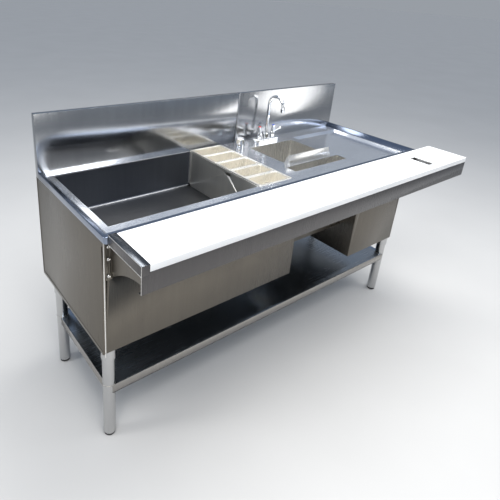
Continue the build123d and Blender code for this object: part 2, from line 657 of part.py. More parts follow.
def condiment_pan(index):
    """One pan of the row: a tapered bowl under a flat flange."""
    y0 = PAN_ROW_FRONT + index * PAN_PITCH + PAN_SPACING_GAP / 2
    y1 = y0 + PAN_PITCH - PAN_SPACING_GAP
    top = DECK_TOP + PAN_FLANGE_SHEET
    flange = rounded_block(PAN_FLANGE_LEFT, PAN_FLANGE_RIGHT, y0, y1, DECK_TOP, top, PAN_FLANGE_CORNER_R)
    left = PAN_RAIL_X + PAN_RAIL_WIDTH + 2 * SEAT_GAP + PAN_WALL
    right = PAN_FLANGE_RIGHT - PAN_FLANGE_END - 2 * SEAT_GAP - PAN_WALL
    side = PAN_FLANGE_SIDE + PAN_WALL
    front = max(y0 + side, BASIN_FRONT + PAN_WALL + 2 * SEAT_GAP)
    mouth = (left, right, front, min(y1 - side, BASIN_REAR - PAN_WALL - 2 * SEAT_GAP))
    floor = grow(mouth, -PAN_TAPER)
    low = DECK_TOP - PAN_DEPTH
    shell = frustum(
        grow(floor, PAN_WALL), low, grow(mouth, PAN_WALL), DECK_TOP, PAN_CORNER_R, PAN_CORNER_R + PAN_WALL
    )
    hollow = frustum(floor, low + PAN_WALL, mouth, top, PAN_CORNER_R - PAN_WALL, PAN_CORNER_R)
    return flange + shell - hollow


def splash_guard():
    """The tent-shaped fold between the hand sink and the front well, closed at its ends."""
    middle = (WELL_REAR + SINK_FRONT) / 2
    half = GUARD_BASE / 2
    x0 = SINK_LEFT
    x1 = SINK_RIGHT - GUARD_END_INSET
    rise = GUARD_HEIGHT - PANEL_SHEET * math.hypot(half, GUARD_HEIGHT) / half

    def tent(half_base, height, length):
        outline = [(x0, middle - half_base, DECK_TOP), (x0, middle, DECK_TOP + height)]
        outline.append((x0, middle + half_base, DECK_TOP))
        return extrude(make_face(Polyline(outline, close=True)), length, dir=(1, 0, 0))

    core = tent(half * rise / GUARD_HEIGHT, rise, x1 - x0 - 2 * PANEL_SHEET)
    return tent(half, GUARD_HEIGHT, x1 - x0) - Pos(PANEL_SHEET, 0, 0) * core


# ---- drains --------------------------------------------------------------------------------
def drain_body(x, y, floor):
    """A drain cup with its flange on the basin floor and a neck for the tailpiece."""
    inner = DRAIN_CUP_R - DRAIN_CUP_WALL
    cup_low = floor - DRAIN_CUP_DEPTH
    neck_low = cup_low - DRAIN_NECK_HEIGHT
    bore = TAIL_NECK_R + PRESS_GAP
    points = [
        (inner, floor + DRAIN_FLANGE_HEIGHT), (DRAIN_FLANGE_R, floor + DRAIN_FLANGE_HEIGHT * 0.4),
        (DRAIN_FLANGE_R, floor), (DRAIN_CUP_R, floor), (DRAIN_CUP_R, cup_low), (DRAIN_NECK_R, cup_low),
        (DRAIN_NECK_R, neck_low), (bore, neck_low), (bore, cup_low + DRAIN_CUP_WALL),
        (inner, cup_low + DRAIN_CUP_WALL),
    ]
    return turned(x, y, points)


def strainer(x, y, floor):
    """A lift-out strainer plate with a knob, resting in the drain cup."""
    radius = DRAIN_CUP_R - DRAIN_CUP_WALL - SEAT_GAP
    low = floor - DRAIN_CUP_DEPTH + DRAIN_CUP_WALL
    inside = radius - STRAINER_SHEET
    plate = low + STRAINER_SHEET
    top = low + STRAINER_HEIGHT
    knob_top = top + STRAINER_KNOB_HEIGHT
    neck = STRAINER_KNOB_R / 2
    points = [
        (0, low), (radius, low), (radius, top), (inside, top), (inside, plate), (neck, plate), (neck, top),
        (STRAINER_KNOB_R, top + neck), (STRAINER_KNOB_R, knob_top), (0, knob_top),
    ]
    basket = turned(x, y, points)
    for row, count in STRAINER_ROWS:
        for step in range(count):
            angle = 2 * math.pi * step / count
            hole_x = x + row * math.cos(angle)
            hole_y = y + row * math.sin(angle)
            basket -= rod(hole_x, hole_y, low - 1, low + STRAINER_SHEET + 1, STRAINER_HOLE_R)
    return basket


def drain_nut(x, y, floor):
    """The nut that clamps a drain cup from under the basin floor."""
    top = floor - PANEL_SHEET
    return hex_nut(x, y, top - DRAIN_NUT_HEIGHT, top, DRAIN_NUT_R, DRAIN_CUP_R + PRESS_GAP)


def stepped_pipe(x, y, low, top, end_length, end_r, neck_r, bore_r):
    """An upright pipe whose lower end is turned down to the size that takes a nut or a hose."""
    pipe = rod(x, y, low, low + end_length, end_r) + rod(x, y, low + end_length, top, neck_r)
    return pipe - rod(x, y, low - 1, top + 1, bore_r)


def tailpiece(x, y, floor, low):
    """The straight outlet pipe below a drain cup."""
    top = floor - DRAIN_CUP_DEPTH + DRAIN_CUP_WALL
    return stepped_pipe(x, y, low, top, TAIL_END_LENGTH, TAIL_R, TAIL_NECK_R, TAIL_BORE_R)


def sink_drain_place():
    """The middle of the hand sink's floor."""
    return ((SINK_LEFT + SINK_RIGHT) / 2, (SINK_FRONT + SINK_REAR) / 2)


def hand_sink_bowl():
    """The hand sink with its drain hole."""
    depth = SINK_DEPTH - DECK_SHEET
    bowl = tub(sink_bounds(), DECK_UNDER, depth, PANEL_SHEET, SINK_CORNER_R, SINK_FLOOR_R, BOWL_FLANGE)
    x, y = sink_drain_place()
    return bowl - rod(x, y, SINK_FLOOR - 2 * PANEL_SHEET, SINK_FLOOR + 1, DRAIN_CUP_R + DRAIN_HOLE_GAP)


def front_well_bowl():
    """The narrow well in front of the hand sink."""
    depth = WELL_DEPTH - DECK_SHEET
    return tub(well_bounds(), DECK_UNDER, depth, PANEL_SHEET, WELL_CORNER_R, WELL_FLOOR_R, BOWL_FLANGE)


# ---- front tray ----------------------------------------------------------------------------
def bracket_places():
    """The X of each bracket's flange, from the left end."""
    last = DECK_LENGTH - LAST_BRACKET_MARGIN
    return (TRAY_INSET + BRACKET_SHEET,) + BRACKET_POSITIONS + (last,)


def bolt_holes(x):
    """Cutters for the three bolts of the bracket at x."""
    holes = []
    for z in BOLT_LEVELS:
        axis = Plane(origin=(x + BRACKET_FLANGE / 2, CASING_FRONT - 10, z), z_dir=(0, 1, 0))
        holes.append(extrude(axis * Circle(BOLT_R + HOLE_GAP), 20))
    return holes


def bracket(x, top, web_inset=0.0):
    """A swept tray bracket: a flange from x, bolted to the casing, and a web with a concave foot."""
    wall = CASING_FRONT
    front = -TRAY_REACH + PANEL_SHEET
    web_x = x + web_inset
    heel = (web_x, wall, BRACKET_FOOT)
    toe = (web_x, front, TRAY_BOTTOM + PANEL_SHEET)
    sweep_point = (web_x, -TRAY_REACH * 0.30, BRACKET_FOOT + 0.70 * (TRAY_BOTTOM - BRACKET_FOOT))
    outline = [Line(toe, (web_x, front, top)), Line((web_x, front, top), (web_x, 0, top))]
    outline.append(Line((web_x, 0, top), (web_x, 0, HEM_BOTTOM - PANEL_SHEET)))
    outline.append(Line((web_x, 0, HEM_BOTTOM - PANEL_SHEET), (web_x, wall, HEM_BOTTOM - PANEL_SHEET)))
    outline.append(Line((web_x, wall, HEM_BOTTOM - PANEL_SHEET), heel))
    outline.append(ThreePointArc(heel, sweep_point, toe))
    web = extrude(make_face(Wire(outline)), BRACKET_SHEET, dir=(1, 0, 0))
    flange = block(x, x + BRACKET_FLANGE, wall - BRACKET_SHEET, wall, BRACKET_FOOT, HEM_BOTTOM - PANEL_SHEET)
    return web + flange - bolt_holes(x)


def end_bracket():
    """The bracket at the tray's left end, under the end cap, with its flange outwards."""
    return bracket(bracket_places()[0], END_CAP_BOTTOM, BRACKET_FLANGE - BRACKET_SHEET)


def tray_brackets():
    """The brackets along the tray, under its top sheet."""
    return [bracket(x, TRAY_TOP - PANEL_SHEET) for x in bracket_places()[1:]]


def bracket_bolts():
    """Button-head bolts that hold the brackets to the casings."""
    bolts = []
    head_face = CASING_FRONT - BRACKET_SHEET
    for x in bracket_places():
        for z in BOLT_LEVELS:
            middle = x + BRACKET_FLANGE / 2
            head = Plane(origin=(middle, head_face, z), z_dir=(0, -1, 0))
            bolt = extrude(head * Circle(BOLT_HEAD_R), BOLT_HEAD_HEIGHT)
            far = [e for e in bolt.edges() if e.center().Y < head_face - BOLT_HEAD_HEIGHT + 0.01]
            bolt = fillet(far, BOLT_HEAD_HEIGHT * 0.55)
            shank = Plane(origin=(middle, head_face, z), z_dir=(0, 1, 0))
            bolts.append(bolt + extrude(shank * Circle(BOLT_R), BRACKET_SHEET + PANEL_SHEET + 6))
    return bolts


def tray():
    """The folded tray under the board: top sheet, front skirt, bottom return, right end."""
    x0 = BOARD_LEFT
    x1 = TRAY_RIGHT
    front = -TRAY_REACH
    left = TRAY_INSET
    sheet = block(x0, x1, front, 0, TRAY_TOP - PANEL_SHEET, TRAY_TOP)
    sheet += block(left, x1, front, front + PANEL_SHEET, TRAY_BOTTOM, TRAY_TOP)
    sheet += block(left, x1, front, front + TRAY_RETURN, TRAY_BOTTOM, TRAY_BOTTOM + PANEL_SHEET)
    sheet += block(x1 - PANEL_SHEET, x1, front, 0, TRAY_BOTTOM, TRAY_TOP)
    sheet -= block(left - 1, x0, front - 1, front + PANEL_SHEET, END_CAP_BOTTOM, TRAY_TOP + 1)
    sheet -= tray_slot(TRAY_TOP - 2 * PANEL_SHEET, TRAY_TOP + 1)
    return sheet


def tray_slot(z0, z1):
    """A cutter for the scrap slot through board and tray."""
    return rounded_block(SLOT_LEFT, SLOT_LEFT + SLOT_LENGTH, SLOT_FRONT, SLOT_FRONT + SLOT_WIDTH, z0, z1, 3)


def tray_end_cap():
    """The hollow stop at the tray's left end, flush with the board's top."""
    x0 = TRAY_INSET
    x1 = BOARD_LEFT
    cap = block(x0, x1, -TRAY_REACH, 0, END_CAP_BOTTOM, END_CAP_TOP)
    return cap - block(
        x0 + PANEL_SHEET, x1 - PANEL_SHEET, -TRAY_REACH + PANEL_SHEET, -PANEL_SHEET,
        END_CAP_BOTTOM + PANEL_SHEET, END_CAP_TOP - PANEL_SHEET,
    )


def cutting_board():
    """The loose white board, with its scrap slot."""
    top = TRAY_TOP + BOARD_THICKNESS
    board = block(BOARD_LEFT + SEAT_GAP, TRAY_RIGHT, -TRAY_REACH, -BOARD_REAR_GAP, TRAY_TOP, top)
    board = fillet(edges_at_height(board, top), BOARD_EDGE_R)
    return board - tray_slot(TRAY_TOP - 1, top + 1)


# ---- legs and undershelf ---------------------------------------------------------------------
def leg(x, y, top):
    """One tube leg, from its foot to the cap of its socket."""
    return ring(x, y, FOOT_HEIGHT, top - SOCKET_CAP, LEG_R, LEG_R - LEG_WALL)


def leg_sockets():
    """The capped collars welded under the casings."""
    sockets = []
    for x, y, top in LEGS.values():
        outer = LEG_R + PRESS_GAP + SOCKET_WALL
        socket = rod(x, y, top - SOCKET_HEIGHT, top, outer)
        socket -= rod(x, y, top - SOCKET_HEIGHT - 1, top - SOCKET_CAP, LEG_R + PRESS_GAP)
        sockets.append(socket)
    return sockets


def leg_inserts():
    """The bushes in the legs' lower ends that carry the feet's stems."""
    outer = LEG_R - LEG_WALL - PRESS_GAP
    top = FOOT_HEIGHT + INSERT_HEIGHT
    return [ring(x, y, FOOT_HEIGHT, top, outer, STEM_R + STEM_GAP) for x, y, _ in LEGS.values()]


def levelling_foot(x, y):
    """A rounded glide on a stem that screws into the leg."""
    glide = rod(x, y, 0, FOOT_HEIGHT, FOOT_R)
    glide = fillet(edges_at_height(glide, 0), FOOT_EDGE_R)
    return glide + rod(x, y, FOOT_HEIGHT, FOOT_HEIGHT + STEM_LENGTH, STEM_R)


def undershelf():
    """The lower shelf: a sheet with lips turned down, notched round the legs."""
    x0 = LEG_LEFT_X - SHELF_SIDE
    x1 = LEG_RIGHT_X + SHELF_SIDE
    y0 = LEG_FRONT - LEG_R
    y1 = LEG_REAR + LEG_R
    shelf = block(x0, x1, y0, y1, SHELF_TOP - SHELF_LIP, SHELF_TOP)
    shelf -= block(
        x0 + PANEL_SHEET, x1 - PANEL_SHEET, y0 + PANEL_SHEET, y1 - PANEL_SHEET, SHELF_TOP - SHELF_LIP - 1,
        SHELF_TOP - PANEL_SHEET,
    )
    for x, y, _ in LEGS.values():
        shelf -= rod(x, y, SHELF_TOP - SHELF_LIP - 1, SHELF_TOP + 1, LEG_R + WELD_GAP)
        out_x = x - LEG_MARGIN if x < DECK_LENGTH / 2 else x
        out_y = y - LEG_MARGIN if y < DECK_DEPTH / 2 else y
        shelf -= block(
            out_x, out_x + LEG_MARGIN, out_y, out_y + LEG_MARGIN, SHELF_TOP - SHELF_LIP - 1, SHELF_TOP + 1
        )
    return shelf


# ---- faucet --------------------------------------------------------------------------------
def valve_places():
    """The X of the hot and the cold valve."""
    return (FAUCET_X - VALVE_SPACING / 2, FAUCET_X + VALVE_SPACING / 2)


def faucet_base():
    """The deck body of the faucet, with a socket for the spout."""
    top = DECK_TOP + FAUCET_BASE_HEIGHT
    outline = Pos(FAUCET_X, FAUCET_Y, DECK_TOP) * SlotOverall(FAUCET_BASE_LENGTH, FAUCET_BASE_WIDTH)
    body = extrude(outline, FAUCET_BASE_HEIGHT)
    body = fillet(edges_at_height(body, top), FAUCET_BASE_EDGE_R)
    return body - rod(FAUCET_X, FAUCET_Y, top - SPOUT_SOCKET, top + 1, SPOUT_R + RUNNING_GAP)


def valve_bonnets():
    """The two bonnets with the valve stems that the handles turn on."""
    top = DECK_TOP + FAUCET_BASE_HEIGHT
    bonnets = []
    for x in valve_places():
        bonnet = rod(x, FAUCET_Y, top, top + BONNET_HEIGHT, BONNET_R)
        bonnet = fillet(edges_at_height(bonnet, top + BONNET_HEIGHT), 3)
        stem_foot = top + BONNET_HEIGHT
        bonnets.append(bonnet + rod(x, FAUCET_Y, stem_foot, stem_foot + VALVE_STEM_HEIGHT, VALVE_STEM_R))
    return bonnets


def hub_levels():
    """The lower and upper height of a handle's hub."""
    low = DECK_TOP + FAUCET_BASE_HEIGHT + BONNET_HEIGHT + HANDLE_LIFT
    return low, low + HUB_HEIGHT


def handle(x, heading):
    """A lever handle: a tapered hub on the valve stem and a lever with a ball end."""
    low, high = hub_levels()
    skirt = low + HUB_SKIRT
    hub_profile = [(0, low), (HUB_FOOT_R, low), (HUB_FOOT_R, skirt), (HUB_TOP_R, high), (0, high)]
    hub = turned(x, FAUCET_Y, hub_profile)
    lever_z = low + HUB_SKIRT - 1
    direction = Vector(math.cos(heading), math.sin(heading), 0)
    start = Vector(x, FAUCET_Y, lever_z)
    end = start + direction * LEVER_LENGTH + Vector(0, 0, LEVER_RISE)
    section = Plane(origin=start, z_dir=(end - start)) * Circle(LEVER_R)
    arm = extrude(section, (end - start).length)
    ball = Pos(end.X, end.Y, end.Z) * Sphere(LEVER_BALL_R)
    socket = rod(x, FAUCET_Y, low - 1, low + VALVE_STEM_HEIGHT, VALVE_STEM_R + RUNNING_GAP)
    return hub + arm + ball - socket


def index_button(x):
    """The coloured button on a handle's hub."""
    high = hub_levels()[1]
    button = rod(x, FAUCET_Y, high, high + INDEX_HEIGHT, INDEX_R)
    return fillet(edges_at_height(button, high + INDEX_HEIGHT), INDEX_HEIGHT * 0.6)


def spout():
    """The gooseneck tube, from its socket in the base to the aerator."""
    low = DECK_TOP + FAUCET_BASE_HEIGHT - SPOUT_SOCKET + SEAT_GAP
    bend = SPOUT_TOP - SPOUT_R - SPOUT_BEND_R
    far = FAUCET_Y - SPOUT_REACH
    crown = (FAUCET_X, FAUCET_Y - SPOUT_BEND_R, bend + SPOUT_BEND_R)
    riser = Line((FAUCET_X, FAUCET_Y, low), (FAUCET_X, FAUCET_Y, bend))
    arch = ThreePointArc((FAUCET_X, FAUCET_Y, bend), crown, (FAUCET_X, far, bend))
    drop = Line((FAUCET_X, far, bend), (FAUCET_X, far, SPOUT_TIP))
    path = Wire([riser, arch, drop])
    foot = Plane(origin=(FAUCET_X, FAUCET_Y, low), z_dir=(0, 0, 1))
    outer = sweep(foot * Circle(SPOUT_R), path=path)
    inner = sweep(foot * Circle(SPOUT_R - SPOUT_WALL), path=path)
    return outer - inner


def spout_nut():
    """The nut that holds the spout in the base."""
    low = DECK_TOP + FAUCET_BASE_HEIGHT
    nut = rod(FAUCET_X, FAUCET_Y, low, low + SPOUT_NUT_HEIGHT, SPOUT_NUT_R)
    nut = chamfer(edges_at_height(nut, low + SPOUT_NUT_HEIGHT), 4)
    return nut - rod(FAUCET_X, FAUCET_Y, low - 1, low + SPOUT_NUT_HEIGHT + 1, SPOUT_R + RUNNING_GAP)


def aerator():
    """The aerator cup on the spout's tip."""
    y = FAUCET_Y - SPOUT_REACH
    low = SPOUT_TIP + AERATOR_LAP - AERATOR_HEIGHT
    cup = rod(FAUCET_X, y, low, low + AERATOR_HEIGHT, AERATOR_R)
    cup = fillet(edges_at_height(cup, low + AERATOR_HEIGHT), 2)
    cup -= rod(FAUCET_X, y, SPOUT_TIP, low + AERATOR_HEIGHT + 1, SPOUT_R + PRESS_GAP)
    return cup - rod(FAUCET_X, y, low - 1, SPOUT_TIP + 1, SPOUT_R - SPOUT_WALL)


def faucet_shanks():
    """The two supply shanks below the faucet's base."""
    low = DECK_TOP - SHANK_LENGTH
    sizes = (SHANK_END_LENGTH, SHANK_R, SHANK_NECK_R, SHANK_BORE_R)
    return [stepped_pipe(x, FAUCET_Y, low, DECK_TOP, *sizes) for x in valve_places()]


def faucet_locknuts():
    """The nuts that clamp the faucet to the deck."""
    top = DECK_UNDER
    low = top - LOCKNUT_HEIGHT
    return [hex_nut(x, FAUCET_Y, low, top, LOCKNUT_R, SHANK_NECK_R + PRESS_GAP) for x in valve_places()]


def air_gap_cap():
    """The slotted cap of the drain's air gap."""
    x, y = AIR_GAP_X, AIR_GAP_Y
    top = DECK_TOP + AIR_GAP_HEIGHT
    cap = rod(x, y, DECK_TOP, top, AIR_GAP_R)
    cap = fillet(edges_at_height(cap, top), AIR_GAP_EDGE_R)
    cap -= rod(x, y, DECK_TOP - 1, top - AIR_GAP_ROOF, AIR_GAP_R - AIR_GAP_WALL)
    slot = Box(AIR_GAP_SLOT[0], AIR_GAP_SLOT[1], AIR_GAP_SLOT[2])
    for step in range(4):
        cap -= Pos(x, y, DECK_TOP + AIR_GAP_SLOT[1]) * Rot(0, 0, 45 + 90 * step) * Pos(AIR_GAP_R, 0, 0) * slot
    return cap


def air_gap_body():
    """The air gap's pipe through the deck, with its shoulder under the cap."""
    x, y = AIR_GAP_X, AIR_GAP_Y
    low = DECK_TOP - AIR_GAP_BODY_DROP
    top = DECK_TOP + AIR_GAP_HEIGHT - AIR_GAP_ROOF
    pipe = rod(x, y, low, top, AIR_GAP_BODY_R)
    pipe += rod(x, y, DECK_TOP, DECK_TOP + AIR_GAP_ROOF, AIR_GAP_R - AIR_GAP_WALL - PRESS_GAP)
    return pipe - rod(x, y, low - 1, top - AIR_GAP_ROOF, AIR_GAP_BODY_R - AIR_GAP_ROOF)


# ---- all pieces ----------------------------------------------------------------------------
def all_pieces():
    """Every node's name with its solid or its list of solids."""
    hot_x, cold_x = valve_places()
    sink_x, sink_y = sink_drain_place()
    pieces = {
        "deck_rim": deck_rim(),
        "deck_floor": deck_floor(),
        "deck_channels": deck_channels(),
        "backsplash_left": splash_panel(0, SPLASH_SEAM),
        "backsplash_right": splash_right_panel(),
        "end_panel": end_panel(),
        "casing_front": casing_front(),
        "casing_wrap": casing_wrap(),
        "casing_bottom": casing_bottom(),
        "right_casing_front": right_casing_front(),
        "right_casing_wrap": right_casing_wrap(),
        "sink_apron": sink_apron(),
        "basin_liner": basin_liner(),
        "divider_channels": divider_channels(),
        "divider_panel": divider_panel(),
        "pan_rail": pan_rail(),
        "hand_sink_bowl": hand_sink_bowl(),
        "front_well_bowl": front_well_bowl(),
        "splash_guard": splash_guard(),
        "basin_drain": drain_body(BASIN_DRAIN_X, BASIN_DRAIN_Y, BASIN_FLOOR),
        "basin_strainer": strainer(BASIN_DRAIN_X, BASIN_DRAIN_Y, BASIN_FLOOR),
        "sink_drain": drain_body(sink_x, sink_y, SINK_FLOOR),
        "sink_strainer": strainer(sink_x, sink_y, SINK_FLOOR),
        "drain_nuts": [
            drain_nut(BASIN_DRAIN_X, BASIN_DRAIN_Y, BASIN_FLOOR),
            drain_nut(sink_x, sink_y, SINK_FLOOR),
        ],
        "tailpieces": [
            tailpiece(BASIN_DRAIN_X, BASIN_DRAIN_Y, BASIN_FLOOR, LEFT_CASING_BOTTOM - TAIL_STUB),
            tailpiece(sink_x, sink_y, SINK_FLOOR, APRON_BOTTOM),
        ],
        "tray": tray(),
        "tray_end_cap": tray_end_cap(),
        "tray_end_bracket": end_bracket(),
        "tray_brackets": tray_brackets(),
        "bracket_bolts": bracket_bolts(),
        "cutting_board": cutting_board(),
        "undershelf": undershelf(),
        "leg_sockets": leg_sockets(),
        "leg_inserts": leg_inserts(),
        "faucet_base": faucet_base(),
        "valve_bonnets": valve_bonnets(),
        "hot_handle": handle(hot_x, math.radians(235)),
        "cold_handle": handle(cold_x, math.radians(5)),
        "hot_index": index_button(hot_x),
        "cold_index": index_button(cold_x),
        "spout": spout(),
        "spout_nut": spout_nut(),
        "aerator": aerator(),
        "faucet_shanks": faucet_shanks(),
        "faucet_locknuts": faucet_locknuts(),
        "air_gap_cap": air_gap_cap(),
        "air_gap_body": air_gap_body(),
    }
    for index in range(PAN_COUNT):
        pieces[f"pan_{index + 1}"] = condiment_pan(index)
    for name, (x, y, top) in LEGS.items():
        pieces[f"leg_{name}"] = leg(x, y, top)
        pieces[f"foot_{name}"] = levelling_foot(x, y)
    return pieces


os.makedirs("parts", exist_ok=True)
for node, shape in all_pieces().items():
    solids = shape if isinstance(shape, list) else [shape]
    solids = [solid for item in solids for solid in (part_frame * item).solids()]
    export_step(solids[0] if len(solids) == 1 else Compound(solids), f"parts/{node}.step")
    print(node, len(solids))
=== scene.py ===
"""The looks of a stainless sink and prep station: camera, light, materials and detailed pieces.

Everything is in metres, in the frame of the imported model: +X along the deck to the user's right,
+Y towards the wall, +Z up. Sizes and places of the detailed pieces come from the model's nodes.
"""
import json
import math

import bmesh
import bpy
from mathutils import Matrix, Vector


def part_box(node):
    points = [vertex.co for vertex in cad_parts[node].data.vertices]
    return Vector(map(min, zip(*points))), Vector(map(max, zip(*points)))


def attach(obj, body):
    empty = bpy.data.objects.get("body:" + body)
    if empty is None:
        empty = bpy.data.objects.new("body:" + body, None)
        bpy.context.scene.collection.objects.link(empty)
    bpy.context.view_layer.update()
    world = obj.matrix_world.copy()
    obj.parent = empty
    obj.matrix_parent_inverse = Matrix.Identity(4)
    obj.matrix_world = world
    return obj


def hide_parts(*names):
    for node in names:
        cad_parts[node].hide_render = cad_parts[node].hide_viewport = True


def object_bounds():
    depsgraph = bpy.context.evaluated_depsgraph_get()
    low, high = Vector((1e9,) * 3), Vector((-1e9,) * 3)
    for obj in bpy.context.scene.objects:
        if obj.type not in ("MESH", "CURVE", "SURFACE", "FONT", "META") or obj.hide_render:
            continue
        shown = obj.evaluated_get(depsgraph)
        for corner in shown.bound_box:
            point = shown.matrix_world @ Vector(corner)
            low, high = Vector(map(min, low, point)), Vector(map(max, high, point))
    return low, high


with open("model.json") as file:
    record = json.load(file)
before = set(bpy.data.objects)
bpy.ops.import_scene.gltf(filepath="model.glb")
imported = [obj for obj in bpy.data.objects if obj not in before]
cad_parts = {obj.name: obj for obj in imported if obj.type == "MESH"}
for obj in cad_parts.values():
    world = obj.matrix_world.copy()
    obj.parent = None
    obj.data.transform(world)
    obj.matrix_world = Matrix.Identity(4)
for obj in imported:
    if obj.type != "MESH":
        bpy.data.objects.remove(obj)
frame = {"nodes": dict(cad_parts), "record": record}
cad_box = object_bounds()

nodes = frame["nodes"]
MM = 0.001

# ---- camera and light ------------------------------------------------------------------------
CAMERA_PLACE = Vector((-1.504, -1.354, 1.646))
CAMERA_HEADING = 38.98          # degrees from +Y towards +X
CAMERA_TILT = -22.08            # degrees above the horizon
CAMERA_ROLL = 4.12
CAMERA_LENS = 33.1
CAMERA_SHIFT = (0.084, -0.150)
SENSOR_WIDTH = 36.0
FLOOR_SIZE = 160.0
FLOOR_COLOUR = (0.60, 0.595, 0.585)
FAR_FLOOR = (0.315, 0.340, 0.375)     # the colour that the surround lights the far floor to

# place, point that it faces, width, height, watts, colour
LAMPS = {
    "key_softbox": ((-1.2, -1.5, 3.7), (0.0, -0.2, 0.8), 2.2, 1.4, 84.0, (1.0, 0.985, 0.96)),
    "fill_softbox": ((3.0, -2.4, 1.9), (0.3, 0.0, 0.7), 1.6, 1.6, 22.0, (1.0, 0.98, 0.95)),
    "top_softbox": ((0.6, 0.1, 3.4), (0.3, -0.1, 0.9), 2.4, 1.0, 80.0, (1.0, 0.99, 0.97)),
    "rim_softbox": ((-3.4, 0.9, 2.6), (-0.6, 0.0, 0.8), 0.7, 2.2, 34.0, (1.0, 1.0, 1.0)),
    "edge_softbox": ((-3.1, -2.4, 1.3), (-0.9, -0.1, 0.7), 0.5, 2.2, 20.0, (1.0, 0.98, 0.95)),
}
SKY_LIGHT = (0.75, 55.0, (-0.25, 0.30, -1.0))     # strength, spread in degrees, direction
# height of a direction (0 straight down, 0.5 level, 1 straight up), colour
SURROUND = (
    (0.0, FAR_FLOOR),
    (0.51, FAR_FLOOR),
    (0.58, (0.29, 0.315, 0.35)),
    (0.70, (0.29, 0.335, 0.40)),
    (0.85, (0.24, 0.30, 0.40)),
    (1.0, (0.42, 0.46, 0.52)),
)

# ---- detail sizes, in millimetres -------------------------------------------------------------
EDGE_ROUND = 0.45               # of the folded and cut sheet edges
BOARD_ROUND = 1.2
ROUND_ANGLE = 40.0              # degrees; flatter edges aren't rounded
MERGE_GAP = 0.01
PAN_FLANGE_SIDE = 8.5
PAN_FLANGE_END = 10.5
PAN_FLANGE_CORNER = 4.0
PAN_FLANGE_SHEET = 2.5
PAN_WALL = 1.2
PAN_TAPER = 5.0
PAN_CORNER = 14.0
PAN_MIDDLE_INSET = 20.0         # from the wall to the last loop of the floor
PAN_MIDDLE_CORNER = 2.0
BOLT_HEAD = 7.0
BOLT_SHANK = 4.0
BOLT_HEAD_HEIGHT = 4.5
SOCKET_KEY = 2.6
SOCKET_DEPTH = 2.2
SOCKET_CHAMFER = 0.5
BOLT_FACETS = 36
SAME_PLACE = 6.0                # repeated pieces lie further apart than this
BONNET_HEIGHT = 14.0
BONNET_RADIUS = 14.0
BONNET_FACETS = 56
# inset from the bonnet's radius in millimetres, share of its height
BONNET_STEPS = (
    (0.0, 0.0), (0.0, 0.16), (0.5, 0.20), (1.4, 0.22), (1.4, 0.42), (0.6, 0.47),
    (0.6, 0.58), (1.4, 0.63), (1.4, 0.78), (2.6, 0.94), (3.8, 1.0),
)
STEM_RADIUS = 5.0
BEAD_RADIUS = 1.1
BEAD_FACETS = 72                # round a leg
BEAD_OUTSET = 0.3               # from the leg's surface
TOP_BEAD_RISE = 3.0             # of the upper bead above the leg's top
TOP_BEAD_GROW = 4.0             # of the upper bead beyond the lower one
SPLASH_SEAM_RADIUS = 1.0
SPLASH_SEAM_DEPTH = 1.2         # behind the right sheet's face
SPLASH_SEAM_END = 1.0           # below the backsplash's top
SPLASH_SEAM_STEP = 3.0
SPLASH_SEAM_SWAY = 0.5
EDGE_HIGHLIGHT_RADIUS = 1.4               # of the bright beads painted as edge highlights
EDGE_HIGHLIGHT_STEP = 6.0
CASING_SHEET = 1.5
FLOOR_GAP = 0.2                 # between the feet and the studio floor


def make_camera():
    """The camera at the station's front left, above the rim."""
    heading = math.radians(CAMERA_HEADING)
    tilt = math.radians(CAMERA_TILT)
    forward = Vector((
        math.sin(heading) * math.cos(tilt),
        math.cos(heading) * math.cos(tilt),
        math.sin(tilt),
    ))
    right = Vector((math.cos(heading), -math.sin(heading), 0))
    up = right.cross(forward)
    turn = Matrix.Rotation(-math.radians(CAMERA_ROLL), 3, forward)
    right = turn @ right
    up = turn @ up
    camera = bpy.data.objects.new("camera", bpy.data.cameras.new("camera"))
    bpy.context.scene.collection.objects.link(camera)
    axes = Matrix((right, up, -forward)).transposed()
    camera.matrix_world = Matrix.Translation(CAMERA_PLACE) @ axes.to_4x4()
    camera.data.sensor_width = SENSOR_WIDTH
    camera.data.lens = CAMERA_LENS
    camera.data.shift_x, camera.data.shift_y = CAMERA_SHIFT
    bpy.context.scene.camera = camera


def make_lamps():
    """Large soft area lights."""
    for name, (place, target, width, height, watts, colour) in LAMPS.items():
        lamp = bpy.data.lights.new(name, "AREA")
        lamp.shape = "RECTANGLE"
        lamp.size = width
        lamp.size_y = height
        lamp.energy = watts
        lamp.color = colour
        holder = bpy.data.objects.new(name, lamp)
        holder.location = place
        aim = Vector(target) - Vector(place)
        holder.rotation_mode = "QUATERNION"
        holder.rotation_quaternion = aim.to_track_quat("-Z", "Y")
        bpy.context.scene.collection.objects.link(holder)


def make_sky_light():
    """A very soft, even light from overhead, which reaches the far floor too."""
    strength, spread_angle, direction = SKY_LIGHT
    lamp = bpy.data.lights.new("sky_light", "SUN")
    lamp.energy = strength
    lamp.angle = math.radians(spread_angle)
    holder = bpy.data.objects.new("sky_light", lamp)
    holder.rotation_mode = "QUATERNION"
    holder.rotation_quaternion = Vector(direction).to_track_quat("-Z", "Y")
    bpy.context.scene.collection.objects.link(holder)


